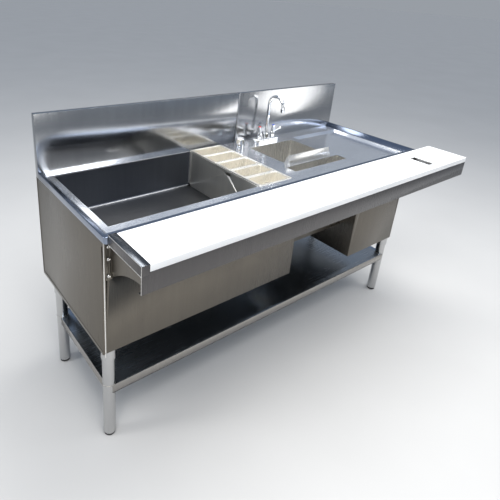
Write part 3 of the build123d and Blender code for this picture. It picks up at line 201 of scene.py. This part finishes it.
def make_world():
    """A plain studio surround: cool grey at the floor and bluer higher up."""
    world = bpy.data.worlds.new("studio")
    bpy.context.scene.world = world
    world.use_nodes = True
    tree = world.node_tree
    place = tree.nodes.new("ShaderNodeTexCoord")
    split = tree.nodes.new("ShaderNodeSeparateXYZ")
    ramp = tree.nodes.new("ShaderNodeValToRGB")
    stops = ramp.color_ramp.elements
    stops[0].position, stops[0].color = SURROUND[0][0], (*SURROUND[0][1], 1)
    stops[1].position, stops[1].color = SURROUND[-1][0], (*SURROUND[-1][1], 1)
    for position, colour in SURROUND[1:-1]:
        stops.new(position).color = (*colour, 1)
    shift = tree.nodes.new("ShaderNodeMapRange")
    shift.inputs["From Min"].default_value = -1.0
    tree.links.new(place.outputs["Generated"], split.inputs[0])
    tree.links.new(split.outputs["Z"], shift.inputs["Value"])
    tree.links.new(shift.outputs["Result"], ramp.inputs["Fac"])
    tree.links.new(ramp.outputs["Color"], tree.nodes["Background"].inputs["Color"])
    tree.nodes["Background"].inputs["Strength"].default_value = 1.0


# ---- materials -------------------------------------------------------------------------------
def new_material(name):
    """A node material with its tree and its shader."""
    material = bpy.data.materials.new(name)
    material.use_nodes = True
    tree = material.node_tree
    return material, tree, tree.nodes["Principled BSDF"]


def noise(tree, scale, detail=2.0):
    """Noise in the object's own space, in waves per metre along X, Y and Z."""
    source = tree.nodes.new("ShaderNodeTexCoord").outputs["Object"]
    mapping = tree.nodes.new("ShaderNodeMapping")
    mapping.inputs["Scale"].default_value = scale
    made = tree.nodes.new("ShaderNodeTexNoise")
    made.inputs["Scale"].default_value = 1.0
    made.inputs["Detail"].default_value = detail
    tree.links.new(source, mapping.inputs["Vector"])
    tree.links.new(mapping.outputs["Vector"], made.inputs["Vector"])
    return made.outputs["Fac"]


def span(tree, value, low, high, from_low=0.3, from_high=0.7):
    """Maps a noise value to a range of numbers."""
    made = tree.nodes.new("ShaderNodeMapRange")
    made.inputs["From Min"].default_value = from_low
    made.inputs["From Max"].default_value = from_high
    made.inputs["To Min"].default_value = low
    made.inputs["To Max"].default_value = high
    tree.links.new(value, made.inputs["Value"])
    return made.outputs["Result"]


def two_tones(tree, value, dark, light, low=0.3, high=0.7):
    """A colour between two tones, by a noise value."""
    ramp = tree.nodes.new("ShaderNodeValToRGB")
    ramp.color_ramp.elements[0].position = low
    ramp.color_ramp.elements[0].color = (*dark, 1)
    ramp.color_ramp.elements[1].position = high
    ramp.color_ramp.elements[1].color = (*light, 1)
    tree.links.new(value, ramp.inputs["Fac"])
    return ramp.outputs["Color"]


def multiply_colours(tree, first, second):
    """The product of two colour outputs."""
    made = tree.nodes.new("ShaderNodeMix")
    made.data_type = "RGBA"
    made.blend_type = "MULTIPLY"
    made.inputs["Factor"].default_value = 1.0
    tree.links.new(first, made.inputs["A"])
    tree.links.new(second, made.inputs["B"])
    return made.outputs["Result"]


def arithmetic(tree, operation, first, second):
    """A Math node on two outputs or numbers."""
    made = tree.nodes.new("ShaderNodeMath")
    made.operation = operation
    for socket, value in zip(made.inputs, (first, second)):
        if isinstance(value, (int, float)):
            socket.default_value = value
        else:
            tree.links.new(value, socket)
    return made.outputs["Value"]


def level_share(tree):
    """1 on level faces and 0 on upright ones."""
    geometry = tree.nodes.new("ShaderNodeNewGeometry")
    split = tree.nodes.new("ShaderNodeSeparateXYZ")
    tree.links.new(geometry.outputs["Normal"], split.inputs[0])
    return span(tree, arithmetic(tree, "ABSOLUTE", split.outputs["Z"], 0.0), 0.0, 1.0, 0.6, 0.8)


def add_bump(tree, shader, height, strength, depth):
    """Feeds a height to the shader's normal."""
    bump = tree.nodes.new("ShaderNodeBump")
    bump.inputs["Strength"].default_value = strength
    bump.inputs["Distance"].default_value = depth
    tree.links.new(height, bump.inputs["Height"])
    tree.links.new(bump.outputs["Normal"], shader.inputs["Normal"])


def add_tangent(tree, shader, axis, amount):
    """Stretches highlights round an axis, as a brushed grain does."""
    tangent = tree.nodes.new("ShaderNodeTangent")
    tangent.direction_type = "RADIAL"
    tangent.axis = axis
    shader.inputs["Anisotropic"].default_value = amount
    tree.links.new(tangent.outputs["Tangent"], shader.inputs["Tangent"])


# waves per metre
GRAIN_FINE = 900.0
GRAIN_LONG = 9.0
STEEL_BANDS = (34.0, 34.0, 2.5)
STEEL_CLOUD = (3.1, 3.1, 2.3)
BOARD_PORES = (700.0, 700.0, 700.0)
BOARD_CLOUD = (5.0, 7.0, 5.0)
BOARD_CUTS = (11.0, 900.0, 300.0)

SMUDGE = 0.035                  # change of roughness by wipe marks
SLOT_SHADE_REACH = 0.12              # metres; how far the ambient occlusion of the board's painted shade looks for other faces


def brushed_steel(
    name, tint, rough, tone=0.05, band=0.05, ring="Z", stretch=0.4, level_reflection_tint=(1, 1, 1), metallic=1.0
):
    """Sheet steel with an upright grain on its walls and a lengthwise grain on its level faces, whose own
    tint carries a painted reflection.
    """
    material, tree, shader = new_material(name)
    upright = noise(tree, (GRAIN_FINE, GRAIN_FINE, GRAIN_LONG))
    lengthwise = noise(tree, (GRAIN_LONG, GRAIN_FINE, GRAIN_FINE))
    share = level_share(tree)
    grain = arithmetic(
        tree, "ADD", arithmetic(tree, "MULTIPLY", lengthwise, share),
        arithmetic(tree, "MULTIPLY", upright, arithmetic(tree, "SUBTRACT", 1.0, share)),
    )
    bands = noise(tree, STEEL_BANDS, 3.0)
    cloud = noise(tree, STEEL_CLOUD, 4.0)
    dark = [c * (1 - tone) for c in tint]
    light = [min(1.0, c * (1 + tone)) for c in tint]
    fine_tone = two_tones(tree, grain, dark, light, 0.32, 0.68)
    band_tone = two_tones(tree, bands, [1 - band] * 3, [1.0, 0.998, 0.992], 0.35, 0.65)
    cloud_tone = two_tones(tree, cloud, [0.95, 0.952, 0.96], [1.0, 1.0, 1.0], 0.35, 0.62)
    colour = multiply_colours(tree, fine_tone, band_tone)
    colour = multiply_colours(tree, colour, cloud_tone)
    # Painted reflection: level faces are multiplied by their own tint, standing in for reflected sky and
    # sunlight (bluer shelf tops, darker bluer skirt edges, a warm basin floor).
    painted_level_reflection = two_tones(tree, share, (1, 1, 1), level_reflection_tint, 0.0, 1.0)
    colour = multiply_colours(tree, colour, painted_level_reflection)
    tree.links.new(colour, shader.inputs["Base Color"])
    wear = arithmetic(tree, "ADD", span(tree, grain, -0.03, 0.03), span(tree, cloud, -SMUDGE, SMUDGE))
    tree.links.new(arithmetic(tree, "ADD", wear, rough), shader.inputs["Roughness"])
    shader.inputs["Metallic"].default_value = metallic
    add_bump(tree, shader, grain, 0.10, 0.05 * MM)
    add_tangent(tree, shader, ring, stretch)
    return material


def polished_metal(name, tint, rough, spots=0.03):
    """Plated or turned metal, nearly a mirror, with faint water spots and wipe marks."""
    material, tree, shader = new_material(name)
    wipe = noise(tree, (60.0, 60.0, 24.0), 4.0)
    drops = noise(tree, (420.0, 420.0, 420.0), 1.0)
    colour = two_tones(tree, wipe, [c * 0.93 for c in tint], tint, 0.35, 0.65)
    tree.links.new(colour, shader.inputs["Base Color"])
    spotted = span(tree, drops, 0.0, spots, 0.6, 0.75)
    wiped = span(tree, wipe, 0.0, spots)
    marks = arithmetic(tree, "ADD", wiped, spotted)
    tree.links.new(arithmetic(tree, "ADD", marks, rough), shader.inputs["Roughness"])
    shader.inputs["Metallic"].default_value = 1.0
    add_bump(tree, shader, wipe, 0.05, 0.05 * MM)
    return material


def weld_metal(name):
    """A tinted, rippled weld."""
    material, tree, shader = new_material(name)
    heat = noise(tree, (260.0, 260.0, 260.0), 3.0)
    tones = two_tones(tree, heat, (0.30, 0.27, 0.24), (0.66, 0.64, 0.60))
    tree.links.new(tones, shader.inputs["Base Color"])
    tree.links.new(span(tree, heat, 0.26, 0.46), shader.inputs["Roughness"])
    shader.inputs["Metallic"].default_value = 1.0
    add_bump(tree, shader, heat, 0.4, 0.3 * MM)
    return material


def board_plastic(name):
    """White polyethylene with a fine matt texture, faint cutting marks and painted shade that darkens its
    slot walls.
    """
    material, tree, shader = new_material(name)
    pores = noise(tree, BOARD_PORES, 2.0)
    cloud = noise(tree, BOARD_CLOUD, 4.0)
    cuts = noise(tree, BOARD_CUTS, 2.0)
    base = two_tones(tree, cloud, (0.86, 0.87, 0.88), (0.93, 0.935, 0.94), 0.35, 0.65)
    marks = two_tones(tree, cuts, (0.965, 0.968, 0.97), (1.0, 1.0, 1.0), 0.26, 0.34)
    # Painted shade: an ambient occlusion mask darkens the base colour of the slot walls and other nooks to
    # near black.
    shade = tree.nodes.new("ShaderNodeAmbientOcclusion")
    shade.inputs["Distance"].default_value = SLOT_SHADE_REACH
    painted_slot_shade = two_tones(tree, shade.outputs["AO"], (0.03, 0.028, 0.026), (1.0, 1.0, 1.0), 0.66, 0.82)
    clean = multiply_colours(tree, base, marks)
    tree.links.new(multiply_colours(tree, clean, painted_slot_shade), shader.inputs["Base Color"])
    tree.links.new(span(tree, cloud, 0.36, 0.50), shader.inputs["Roughness"])
    shader.inputs["IOR"].default_value = 1.50
    height = arithmetic(tree, "ADD", pores, arithmetic(tree, "MULTIPLY", cuts, 0.6))
    add_bump(tree, shader, height, 0.25, 0.08 * MM)
    return material


def foot_plastic(name):
    """Black moulded plastic, scuffed and a little dusty."""
    material, tree, shader = new_material(name)
    dust = noise(tree, (90.0, 90.0, 60.0), 4.0)
    tones = two_tones(tree, dust, (0.012, 0.012, 0.013), (0.045, 0.044, 0.042))
    tree.links.new(tones, shader.inputs["Base Color"])
    tree.links.new(span(tree, dust, 0.35, 0.60), shader.inputs["Roughness"])
    texture = noise(tree, (900.0, 900.0, 900.0))
    add_bump(tree, shader, texture, 0.3, 0.1 * MM)
    return material


def index_plastic(name, dark, light):
    """A glossy coloured button."""
    material, tree, shader = new_material(name)
    cloud = noise(tree, (220.0, 220.0, 220.0), 3.0)
    tree.links.new(two_tones(tree, cloud, dark, light), shader.inputs["Base Color"])
    tree.links.new(span(tree, cloud, 0.12, 0.26), shader.inputs["Roughness"])
    shader.inputs["Coat Weight"].default_value = 0.5
    add_bump(tree, shader, cloud, 0.1, 0.05 * MM)
    return material


def floor_material():
    """A plain pale studio floor."""
    material, tree, shader = new_material("studio_floor")
    cloud = noise(tree, (1.4, 1.4, 1.4), 5.0)
    dark = [c * 0.96 for c in FLOOR_COLOUR]
    tree.links.new(two_tones(tree, cloud, dark, FLOOR_COLOUR), shader.inputs["Base Color"])
    tree.links.new(span(tree, cloud, 0.85, 1.0), shader.inputs["Roughness"])
    shader.inputs["Specular IOR Level"].default_value = 0.0
    return material


# The steel looks are lit and shaded copies of one stainless steel, and their base colours carry painted
# light and shade. The deck, bowls and divider are pale and the pans cream for painted sunlight, and the
# backsplash is mid grey. The rim and basin are dark navy for painted sky reflection and shade, and the
# casing and skirt are dark and warm for painted shade and floor reflection.
looks = {
    "deck": brushed_steel("deck_look", (0.80, 0.82, 0.86), 0.22, ring="X", stretch=0.3, metallic=0.93),
    "rim": brushed_steel("rim_look", (0.25, 0.29, 0.37), 0.18, ring="X", stretch=0.3),
    "splash": brushed_steel("splash_look", (0.42, 0.43, 0.445), 0.19, tone=0.03, band=0.07, stretch=0.3),
    "casing": brushed_steel("casing_look", (0.165, 0.150, 0.128), 0.30, tone=0.04, stretch=0.6),
    "skirt": brushed_steel("skirt_look", (0.125, 0.120, 0.120), 0.26, ring="X", stretch=0.6,
                           level_reflection_tint=(0.8, 0.9, 1.0)),
    "basin": brushed_steel("basin_look", (0.17, 0.185, 0.215), 0.38, tone=0.03, stretch=0.3,
                           level_reflection_tint=(1.0, 0.93, 0.82)),
    "divider": brushed_steel("divider_look", (0.60, 0.59, 0.55), 0.34, stretch=0.3, metallic=0.9),
    "bowl": brushed_steel("bowl_look", (0.80, 0.79, 0.76), 0.28, tone=0.04, stretch=0.3, metallic=0.92),
    "leg": brushed_steel("leg_look", (0.55, 0.55, 0.55), 0.20),
    "pan": brushed_steel("pan_look", (0.97, 0.94, 0.87), 0.28, tone=0.03, stretch=0.2, metallic=0.86),
    "shelf": brushed_steel("shelf_look", (0.36, 0.345, 0.325), 0.24, ring="X", stretch=0.5,
                           level_reflection_tint=(1.0, 1.2, 1.5)),
    # the pale steel of the beads painted as edge highlights
    "edge": brushed_steel("edge_highlight_look", (0.90, 0.88, 0.84), 0.30, tone=0.08, stretch=0.1, metallic=0.8),
    "chrome": polished_metal("chrome_look", (0.86, 0.87, 0.88), 0.06),
    "bolt": polished_metal("bolt_look", (0.74, 0.73, 0.71), 0.16, 0.06),
    "brass": polished_metal("brass_look", (0.62, 0.50, 0.28), 0.26, 0.10),
    "weld": weld_metal("weld_look"),
    "board": board_plastic("board_look"),
    "foot": foot_plastic("foot_look"),
    "red": index_plastic("index_red_look", (0.50, 0.02, 0.02), (0.68, 0.04, 0.04)),
    "blue": index_plastic("index_blue_look", (0.02, 0.05, 0.38), (0.03, 0.09, 0.55)),
}
LOOK_OF_SLOT = {
    "deck_steel": "deck", "splash_steel": "splash", "casing_steel": "casing", "basin_steel": "basin",
    "leg_steel": "leg", "pan_steel": "pan", "faucet_chrome": "chrome", "bolt_steel": "bolt",
    "drain_brass": "brass", "board_plastic": "board", "foot_plastic": "foot", "index_red": "red",
    "index_blue": "blue",
}
LOOK_OF_NODE = {
    "undershelf": "shelf", "leg_inserts": "foot", "deck_rim": "rim",
    "tray": "skirt", "tray_end_cap": "skirt", "hand_sink_bowl": "bowl",
    "front_well_bowl": "bowl", "splash_guard": "bowl", "divider_channels": "bowl",
    "divider_panel": "divider", "basin_drain": "bolt", "sink_drain": "bolt",
    "basin_strainer": "bolt", "sink_strainer": "bolt",
}
FOLDED_NODES = (
    "deck_rim", "backsplash_left", "backsplash_right", "end_panel", "casing_front", "casing_wrap",
    "right_casing_front", "right_casing_wrap", "tray", "tray_end_cap", "tray_end_bracket", "tray_brackets",
    "undershelf", "splash_guard", "divider_panel", "divider_channels", "pan_rail", "sink_apron",
)
slot_of_node = {part["node"]: part["material_slot"] for part in frame["record"]["subparts"]}


def dress(obj, look):
    """Gives a piece one material."""
    obj.data.materials.clear()
    obj.data.materials.append(looks[look])


def dress_frame():
    """Every node of the model gets the material of its slot."""
    for name, obj in nodes.items():
        dress(obj, LOOK_OF_NODE.get(name, LOOK_OF_SLOT[slot_of_node[name]]))


# ---- mesh helpers ----------------------------------------------------------------------------
def new_piece(name, mesh, body, look):
    """A finished piece of the object, riding on a body."""
    bmesh.ops.remove_doubles(mesh, verts=mesh.verts, dist=1e-7)
    bmesh.ops.recalc_face_normals(mesh, faces=mesh.faces)
    data = bpy.data.meshes.new(name)
    mesh.to_mesh(data)
    mesh.free()
    obj = bpy.data.objects.new(name, data)
    bpy.context.scene.collection.objects.link(obj)
    dress(obj, look)
    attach(obj, body)
    return obj


def smooth(obj, angle=35.0):
    """Smooth shading, with hard edges above an angle."""
    for face in obj.data.polygons:
        face.use_smooth = True
    obj.data.set_sharp_from_angle(angle=math.radians(angle))


def round_edges(obj, width):
    """Rounds the sharp edges of a model node in its modifiers; its mesh stays as it is."""
    weld = obj.modifiers.new("weld", "WELD")
    weld.merge_threshold = MERGE_GAP * MM
    bevel = obj.modifiers.new("edges", "BEVEL")
    bevel.limit_method = "ANGLE"
    bevel.angle_limit = math.radians(ROUND_ANGLE)
    bevel.width = width * MM
    bevel.segments = 2
    bevel.use_clamp_overlap = True
    bevel.harden_normals = True


def bridge(mesh, first, second):
    """Faces between two closed loops of as many points."""
    count = len(first)
    for k in range(count):
        mesh.faces.new((first[k], first[(k + 1) % count], second[(k + 1) % count], second[k]))


def skin(mesh, loops, closed=False):
    """Faces along a chain of loops of points, with caps at its ends unless it is closed."""
    rings = [[mesh.verts.new(point) for point in loop] for loop in loops]
    for first, second in zip(rings, rings[1:]):
        bridge(mesh, first, second)
    if closed:
        bridge(mesh, rings[-1], rings[0])
    else:
        mesh.faces.new(rings[0])
        mesh.faces.new(list(reversed(rings[-1])))


def circle_loop(x, y, z, radius, count):
    """Points on a level circle."""
    points = []
    for k in range(count):
        angle = math.tau * k / count
        points.append(Vector((x + radius * math.cos(angle), y + radius * math.sin(angle), z)))
    return points


def rectangle_loop(x0, x1, y0, y1, z, radius, steps=6):
    """Points on a level rectangle with round corners."""
    corners = (
        (x1 - radius, y1 - radius, 0),
        (x0 + radius, y1 - radius, 1),
        (x0 + radius, y0 + radius, 2),
        (x1 - radius, y0 + radius, 3),
    )
    points = []
    for cx, cy, quarter in corners:
        for k in range(steps + 1):
            angle = math.pi / 2 * (quarter + k / steps)
            points.append(Vector((cx + radius * math.cos(angle), cy + radius * math.sin(angle), z)))
    return points


def lathe(mesh, x, y, profile, count):
    """A solid turned about an upright axis, from (radius, height) points; both ends are capped."""
    skin(mesh, [circle_loop(x, y, z, max(radius, 1e-5), count) for radius, z in profile])


def hexagon_radius(radius, angle):
    """Distance of a hexagon's outline from its middle, across flats 2 x radius."""
    return radius / math.cos((angle % (math.pi / 3)) - math.pi / 6)


def spread(values, gap):
    """Middles of the groups of values that lie more than a gap apart."""
    groups = [[]]
    for value in sorted(values):
        if groups[-1] and value - groups[-1][-1] > gap:
            groups.append([])
        groups[-1].append(value)
    return [(min(group) + max(group)) / 2 for group in groups]


def bead(mesh, path, radius, count=8, closed=False):
    """A rippled weld bead along a path of points."""
    loops = []
    total = len(path)
    for k, point in enumerate(path):
        if closed:
            ahead = path[(k + 1) % total] - path[k - 1]
        else:
            ahead = path[min(k + 1, total - 1)] - path[max(k - 1, 0)]
        ahead.normalize()
        is_upright = abs(ahead.z) > 0.9
        side = ahead.orthogonal() if is_upright else ahead.cross(Vector((0, 0, 1)))
        side.normalize()
        over = side.cross(ahead)
        size = radius * (0.86 + 0.14 * math.sin(2.1 * k) * math.cos(0.7 * k))
        loops.append([
            point + size * (math.cos(math.tau * n / count) * side + math.sin(math.tau * n / count) * over)
            for n in range(count)
        ])
    skin(mesh, loops, closed)


def line_path(start, end, step):
    """Points from one place to another, about one step apart."""
    start = Vector(start)
    end = Vector(end)
    count = max(2, round((end - start).length / step))
    return [start.lerp(end, k / count) for k in range(count + 1)]


def middle_of(node):
    """The middle of a node's box."""
    low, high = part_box(node)
    return (low + high) / 2


make_camera()
make_lamps()
make_sky_light()
make_world()
bpy.context.scene.view_settings.view_transform = "Standard"
dress_frame()
for node_object in nodes.values():
    smooth(node_object)
for node_name in FOLDED_NODES:
    round_edges(nodes[node_name], EDGE_ROUND)
round_edges(nodes["cutting_board"], BOARD_ROUND)


# ---- pans ------------------------------------------------------------------------------------
def make_pan(node):
    """A stamped pan: a rolled flange, tapered walls with round corners and a rounded floor."""
    low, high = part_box(node)
    top = high.z
    seat = high.z - PAN_FLANGE_SHEET * MM

    def loop(inset, z, corner):
        """A loop inset from the flange's edge; insets past the flange follow the walls."""
        share = min(inset / PAN_FLANGE_SIDE, 1.0)
        inset_x = (inset + share * (PAN_FLANGE_END - PAN_FLANGE_SIDE)) * MM
        inset_y = inset * MM
        return rectangle_loop(
            low.x + inset_x, high.x - inset_x, low.y + inset_y, high.y - inset_y, z, corner * MM
        )

    outside = PAN_FLANGE_SIDE
    inside = PAN_FLANGE_SIDE + PAN_WALL
    foot = PAN_FLANGE_SIDE + PAN_TAPER
    floor = low.z + PAN_WALL * MM
    loops = [
        loop(foot + PAN_MIDDLE_INSET, low.z, PAN_MIDDLE_CORNER),
        loop(foot + 4.0, low.z, PAN_CORNER - 4.0),
        loop(foot + 1.2, low.z + 1.2 * MM, PAN_CORNER - 1.2),
        loop(foot, low.z + 4.0 * MM, PAN_CORNER),
        loop(outside, seat - 2.0 * MM, PAN_CORNER),
        loop(outside - 0.6, seat, PAN_CORNER),
        loop(0.5, seat, PAN_FLANGE_CORNER),
        loop(0.0, seat + 0.5 * MM, PAN_FLANGE_CORNER),
        loop(0.0, top - 0.9 * MM, PAN_FLANGE_CORNER),
        loop(0.3, top - 0.25 * MM, PAN_FLANGE_CORNER),
        loop(1.0, top, PAN_FLANGE_CORNER),
        loop(2.2, top - 0.1 * MM, PAN_FLANGE_CORNER + 1),
        loop(3.0, top - 0.6 * MM, PAN_FLANGE_CORNER + 1),
        loop(outside - 1.2, top - 0.6 * MM, PAN_CORNER),
        loop(outside + 0.2, top - 1.0 * MM, PAN_CORNER),
        loop(outside + 0.9, top - 2.2 * MM, PAN_CORNER),
        loop(inside, top - 4.5 * MM, PAN_CORNER - PAN_WALL),
        loop(foot + PAN_WALL, floor + 6.0 * MM, PAN_CORNER - PAN_WALL),
        loop(foot + 2.4, floor + 2.2 * MM, PAN_CORNER - 2.4),
        loop(foot + 4.6, floor + 0.5 * MM, PAN_CORNER - 4.6),
        loop(foot + 8.0, floor, PAN_CORNER - 8.0),
        loop(foot + PAN_MIDDLE_INSET, floor + 0.3 * MM, PAN_MIDDLE_CORNER),
    ]
    mesh = bmesh.new()
    skin(mesh, loops)
    pan = new_piece("stamped_" + node, mesh, node, "pan")
    smooth(pan, 60.0)
    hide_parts(node)


for pan_name in sorted(name for name in nodes if name.startswith("pan_") and name != "pan_rail"):
    make_pan(pan_name)


# ---- bolts -----------------------------------------------------------------------------------
def make_bolts():
    """Button-head screws with a hexagon socket, where the model has its bolts."""
    places = [vertex.co for vertex in nodes["bracket_bolts"].data.vertices]
    front = min(place.y for place in places)
    end = max(place.y for place in places)
    head_face = front + BOLT_HEAD_HEIGHT * MM
    profile = (
        (SOCKET_KEY, front + SOCKET_DEPTH * MM, True),
        (SOCKET_KEY, front + 0.25 * MM, True),
        (SOCKET_KEY + SOCKET_CHAMFER, front, False),
        (BOLT_HEAD * 0.55, front + 0.25 * MM, False),
        (BOLT_HEAD * 0.78, front + 1.1 * MM, False),
        (BOLT_HEAD * 0.94, front + 2.4 * MM, False),
        (BOLT_HEAD, head_face - 0.7 * MM, False),
        (BOLT_HEAD, head_face - 0.1 * MM, False),
        (BOLT_HEAD - 0.3, head_face, False),
        (BOLT_SHANK, head_face, False),
        (BOLT_SHANK, end - 0.6 * MM, False),
        (BOLT_SHANK - 0.6, end, False),
    )
    mesh = bmesh.new()
    for x in spread({round(place.x, 5) for place in places}, SAME_PLACE * MM):
        for z in spread({round(place.z, 5) for place in places}, SAME_PLACE * MM):
            loops = []
            for radius, y, is_hexagon in profile:
                loop = []
                for k in range(BOLT_FACETS):
                    angle = math.tau * k / BOLT_FACETS
                    reach = (hexagon_radius(radius, angle) if is_hexagon else radius) * MM
                    loop.append(Vector((x + reach * math.cos(angle), y, z + reach * math.sin(angle))))
                loops.append(loop)
            skin(mesh, loops)
    bolts = new_piece("button_head_bolts", mesh, "stand", "bolt")
    smooth(bolts, 40.0)
    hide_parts("bracket_bolts")


make_bolts()


# ---- faucet ----------------------------------------------------------------------------------
def make_bonnets():
    """Turned bonnets with a grooved collar under each handle."""
    places = [vertex.co for vertex in nodes["valve_bonnets"].data.vertices]
    low = min(place.z for place in places)
    high = max(place.z for place in places)
    y = middle_of("valve_bonnets").y
    shoulder = low + BONNET_HEIGHT * MM
    profile = [
        ((BONNET_RADIUS - inset) * MM, low + share * (shoulder - low)) for inset, share in BONNET_STEPS
    ]
    profile += [(STEM_RADIUS * MM, shoulder), (STEM_RADIUS * MM, high)]
    mesh = bmesh.new()
    for x in spread({round(place.x, 5) for place in places}, SAME_PLACE * MM):
        lathe(mesh, x, y, profile, BONNET_FACETS)
    bonnets = new_piece("turned_bonnets", mesh, "stand", "chrome")
    smooth(bonnets, 40.0)
    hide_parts("valve_bonnets")


make_bonnets()


# ---- welds and painted edge highlights -------------------------------------------------------
def make_welds():
    """Beads where the legs pass the shelf and above the legs' tops, and the ground backsplash seam."""
    mesh = bmesh.new()
    shelf_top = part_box("undershelf")[1].z
    for name in nodes:
        if name.startswith("leg_") and name not in ("leg_sockets", "leg_inserts"):
            low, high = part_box(name)
            middle = (low + high) / 2
            radius = (high.x - low.x) / 2 + BEAD_OUTSET * MM
            for z, grow in ((shelf_top, 0.0), (high.z + TOP_BEAD_RISE * MM, TOP_BEAD_GROW * MM)):
                path = circle_loop(middle.x, middle.y, z, radius + grow, BEAD_FACETS)
                bead(mesh, path, BEAD_RADIUS * MM, closed=True)
    beads = new_piece("weld_beads", mesh, "stand", "weld")
    smooth(beads, 80.0)
    seam = bmesh.new()
    seam_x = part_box("backsplash_left")[1].x
    face_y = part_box("backsplash_right")[0].y
    seam_y = face_y + SPLASH_SEAM_DEPTH * MM
    seam_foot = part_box("deck_rim")[1].z
    seam_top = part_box("backsplash_left")[1].z - SPLASH_SEAM_END * MM
    path = line_path((seam_x, seam_y, seam_foot), (seam_x, seam_y, seam_top), SPLASH_SEAM_STEP * MM)
    sway = SPLASH_SEAM_SWAY * MM
    wavy = [point + Vector((sway * math.sin(k * 0.31), 0, 0)) for k, point in enumerate(path)]
    bead(seam, wavy, SPLASH_SEAM_RADIUS * MM)
    smooth(new_piece("splash_seam", seam, "stand", "weld"), 80.0)


def make_edge_highlight_beads():
    """Bright beads painted as highlight lines at the casing's front left corner and at the left end of the
    tray and its cap.
    """
    inset = EDGE_HIGHLIGHT_RADIUS * MM
    panel_low, panel_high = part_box("end_panel")
    panel_x = panel_low.x + 1.1 * inset
    groove_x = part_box("casing_front")[0].x
    casing_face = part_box("casing_wrap")[0].y - CASING_SHEET * MM + 0.4 * inset
    cap_low, cap_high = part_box("tray_end_cap")
    skirt_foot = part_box("tray")[0].z + inset
    cap_x = cap_low.x + 0.4 * inset
    cap_front = cap_low.y + inset
    cap_top = cap_high.z - inset
    lines = (
        ((panel_x, panel_low.y, panel_low.z + inset), (panel_x, panel_low.y, panel_high.z - inset)),
        ((groove_x, casing_face, panel_low.z + inset), (groove_x, casing_face, panel_high.z - inset)),
        ((cap_x, cap_front, skirt_foot), (cap_x, cap_front, cap_top)),
        ((cap_x, cap_front, cap_low.z), (cap_x, cap_high.y - inset, cap_low.z)),
        ((cap_x, cap_front, cap_top), (cap_x, cap_high.y - inset, cap_top)),
    )
    mesh = bmesh.new()
    for start, end in lines:
        bead(mesh, line_path(start, end, EDGE_HIGHLIGHT_STEP * MM), EDGE_HIGHLIGHT_RADIUS * MM, 10)
    smooth(new_piece("edge_highlight_beads", mesh, "stand", "edge"), 80.0)


make_welds()
make_edge_highlight_beads()


# ---- floor -----------------------------------------------------------------------------------
def make_floor():
    """A large plain floor under the feet."""
    mesh = bmesh.new()
    bmesh.ops.create_grid(mesh, x_segments=8, y_segments=8, size=FLOOR_SIZE / 2)
    data = bpy.data.meshes.new("studio_floor")
    mesh.to_mesh(data)
    mesh.free()
    floor = bpy.data.objects.new("studio_floor", data)
    floor.location.z = cad_box[0].z - FLOOR_GAP * MM
    bpy.context.scene.collection.objects.link(floor)
    data.materials.append(floor_material())


make_floor()
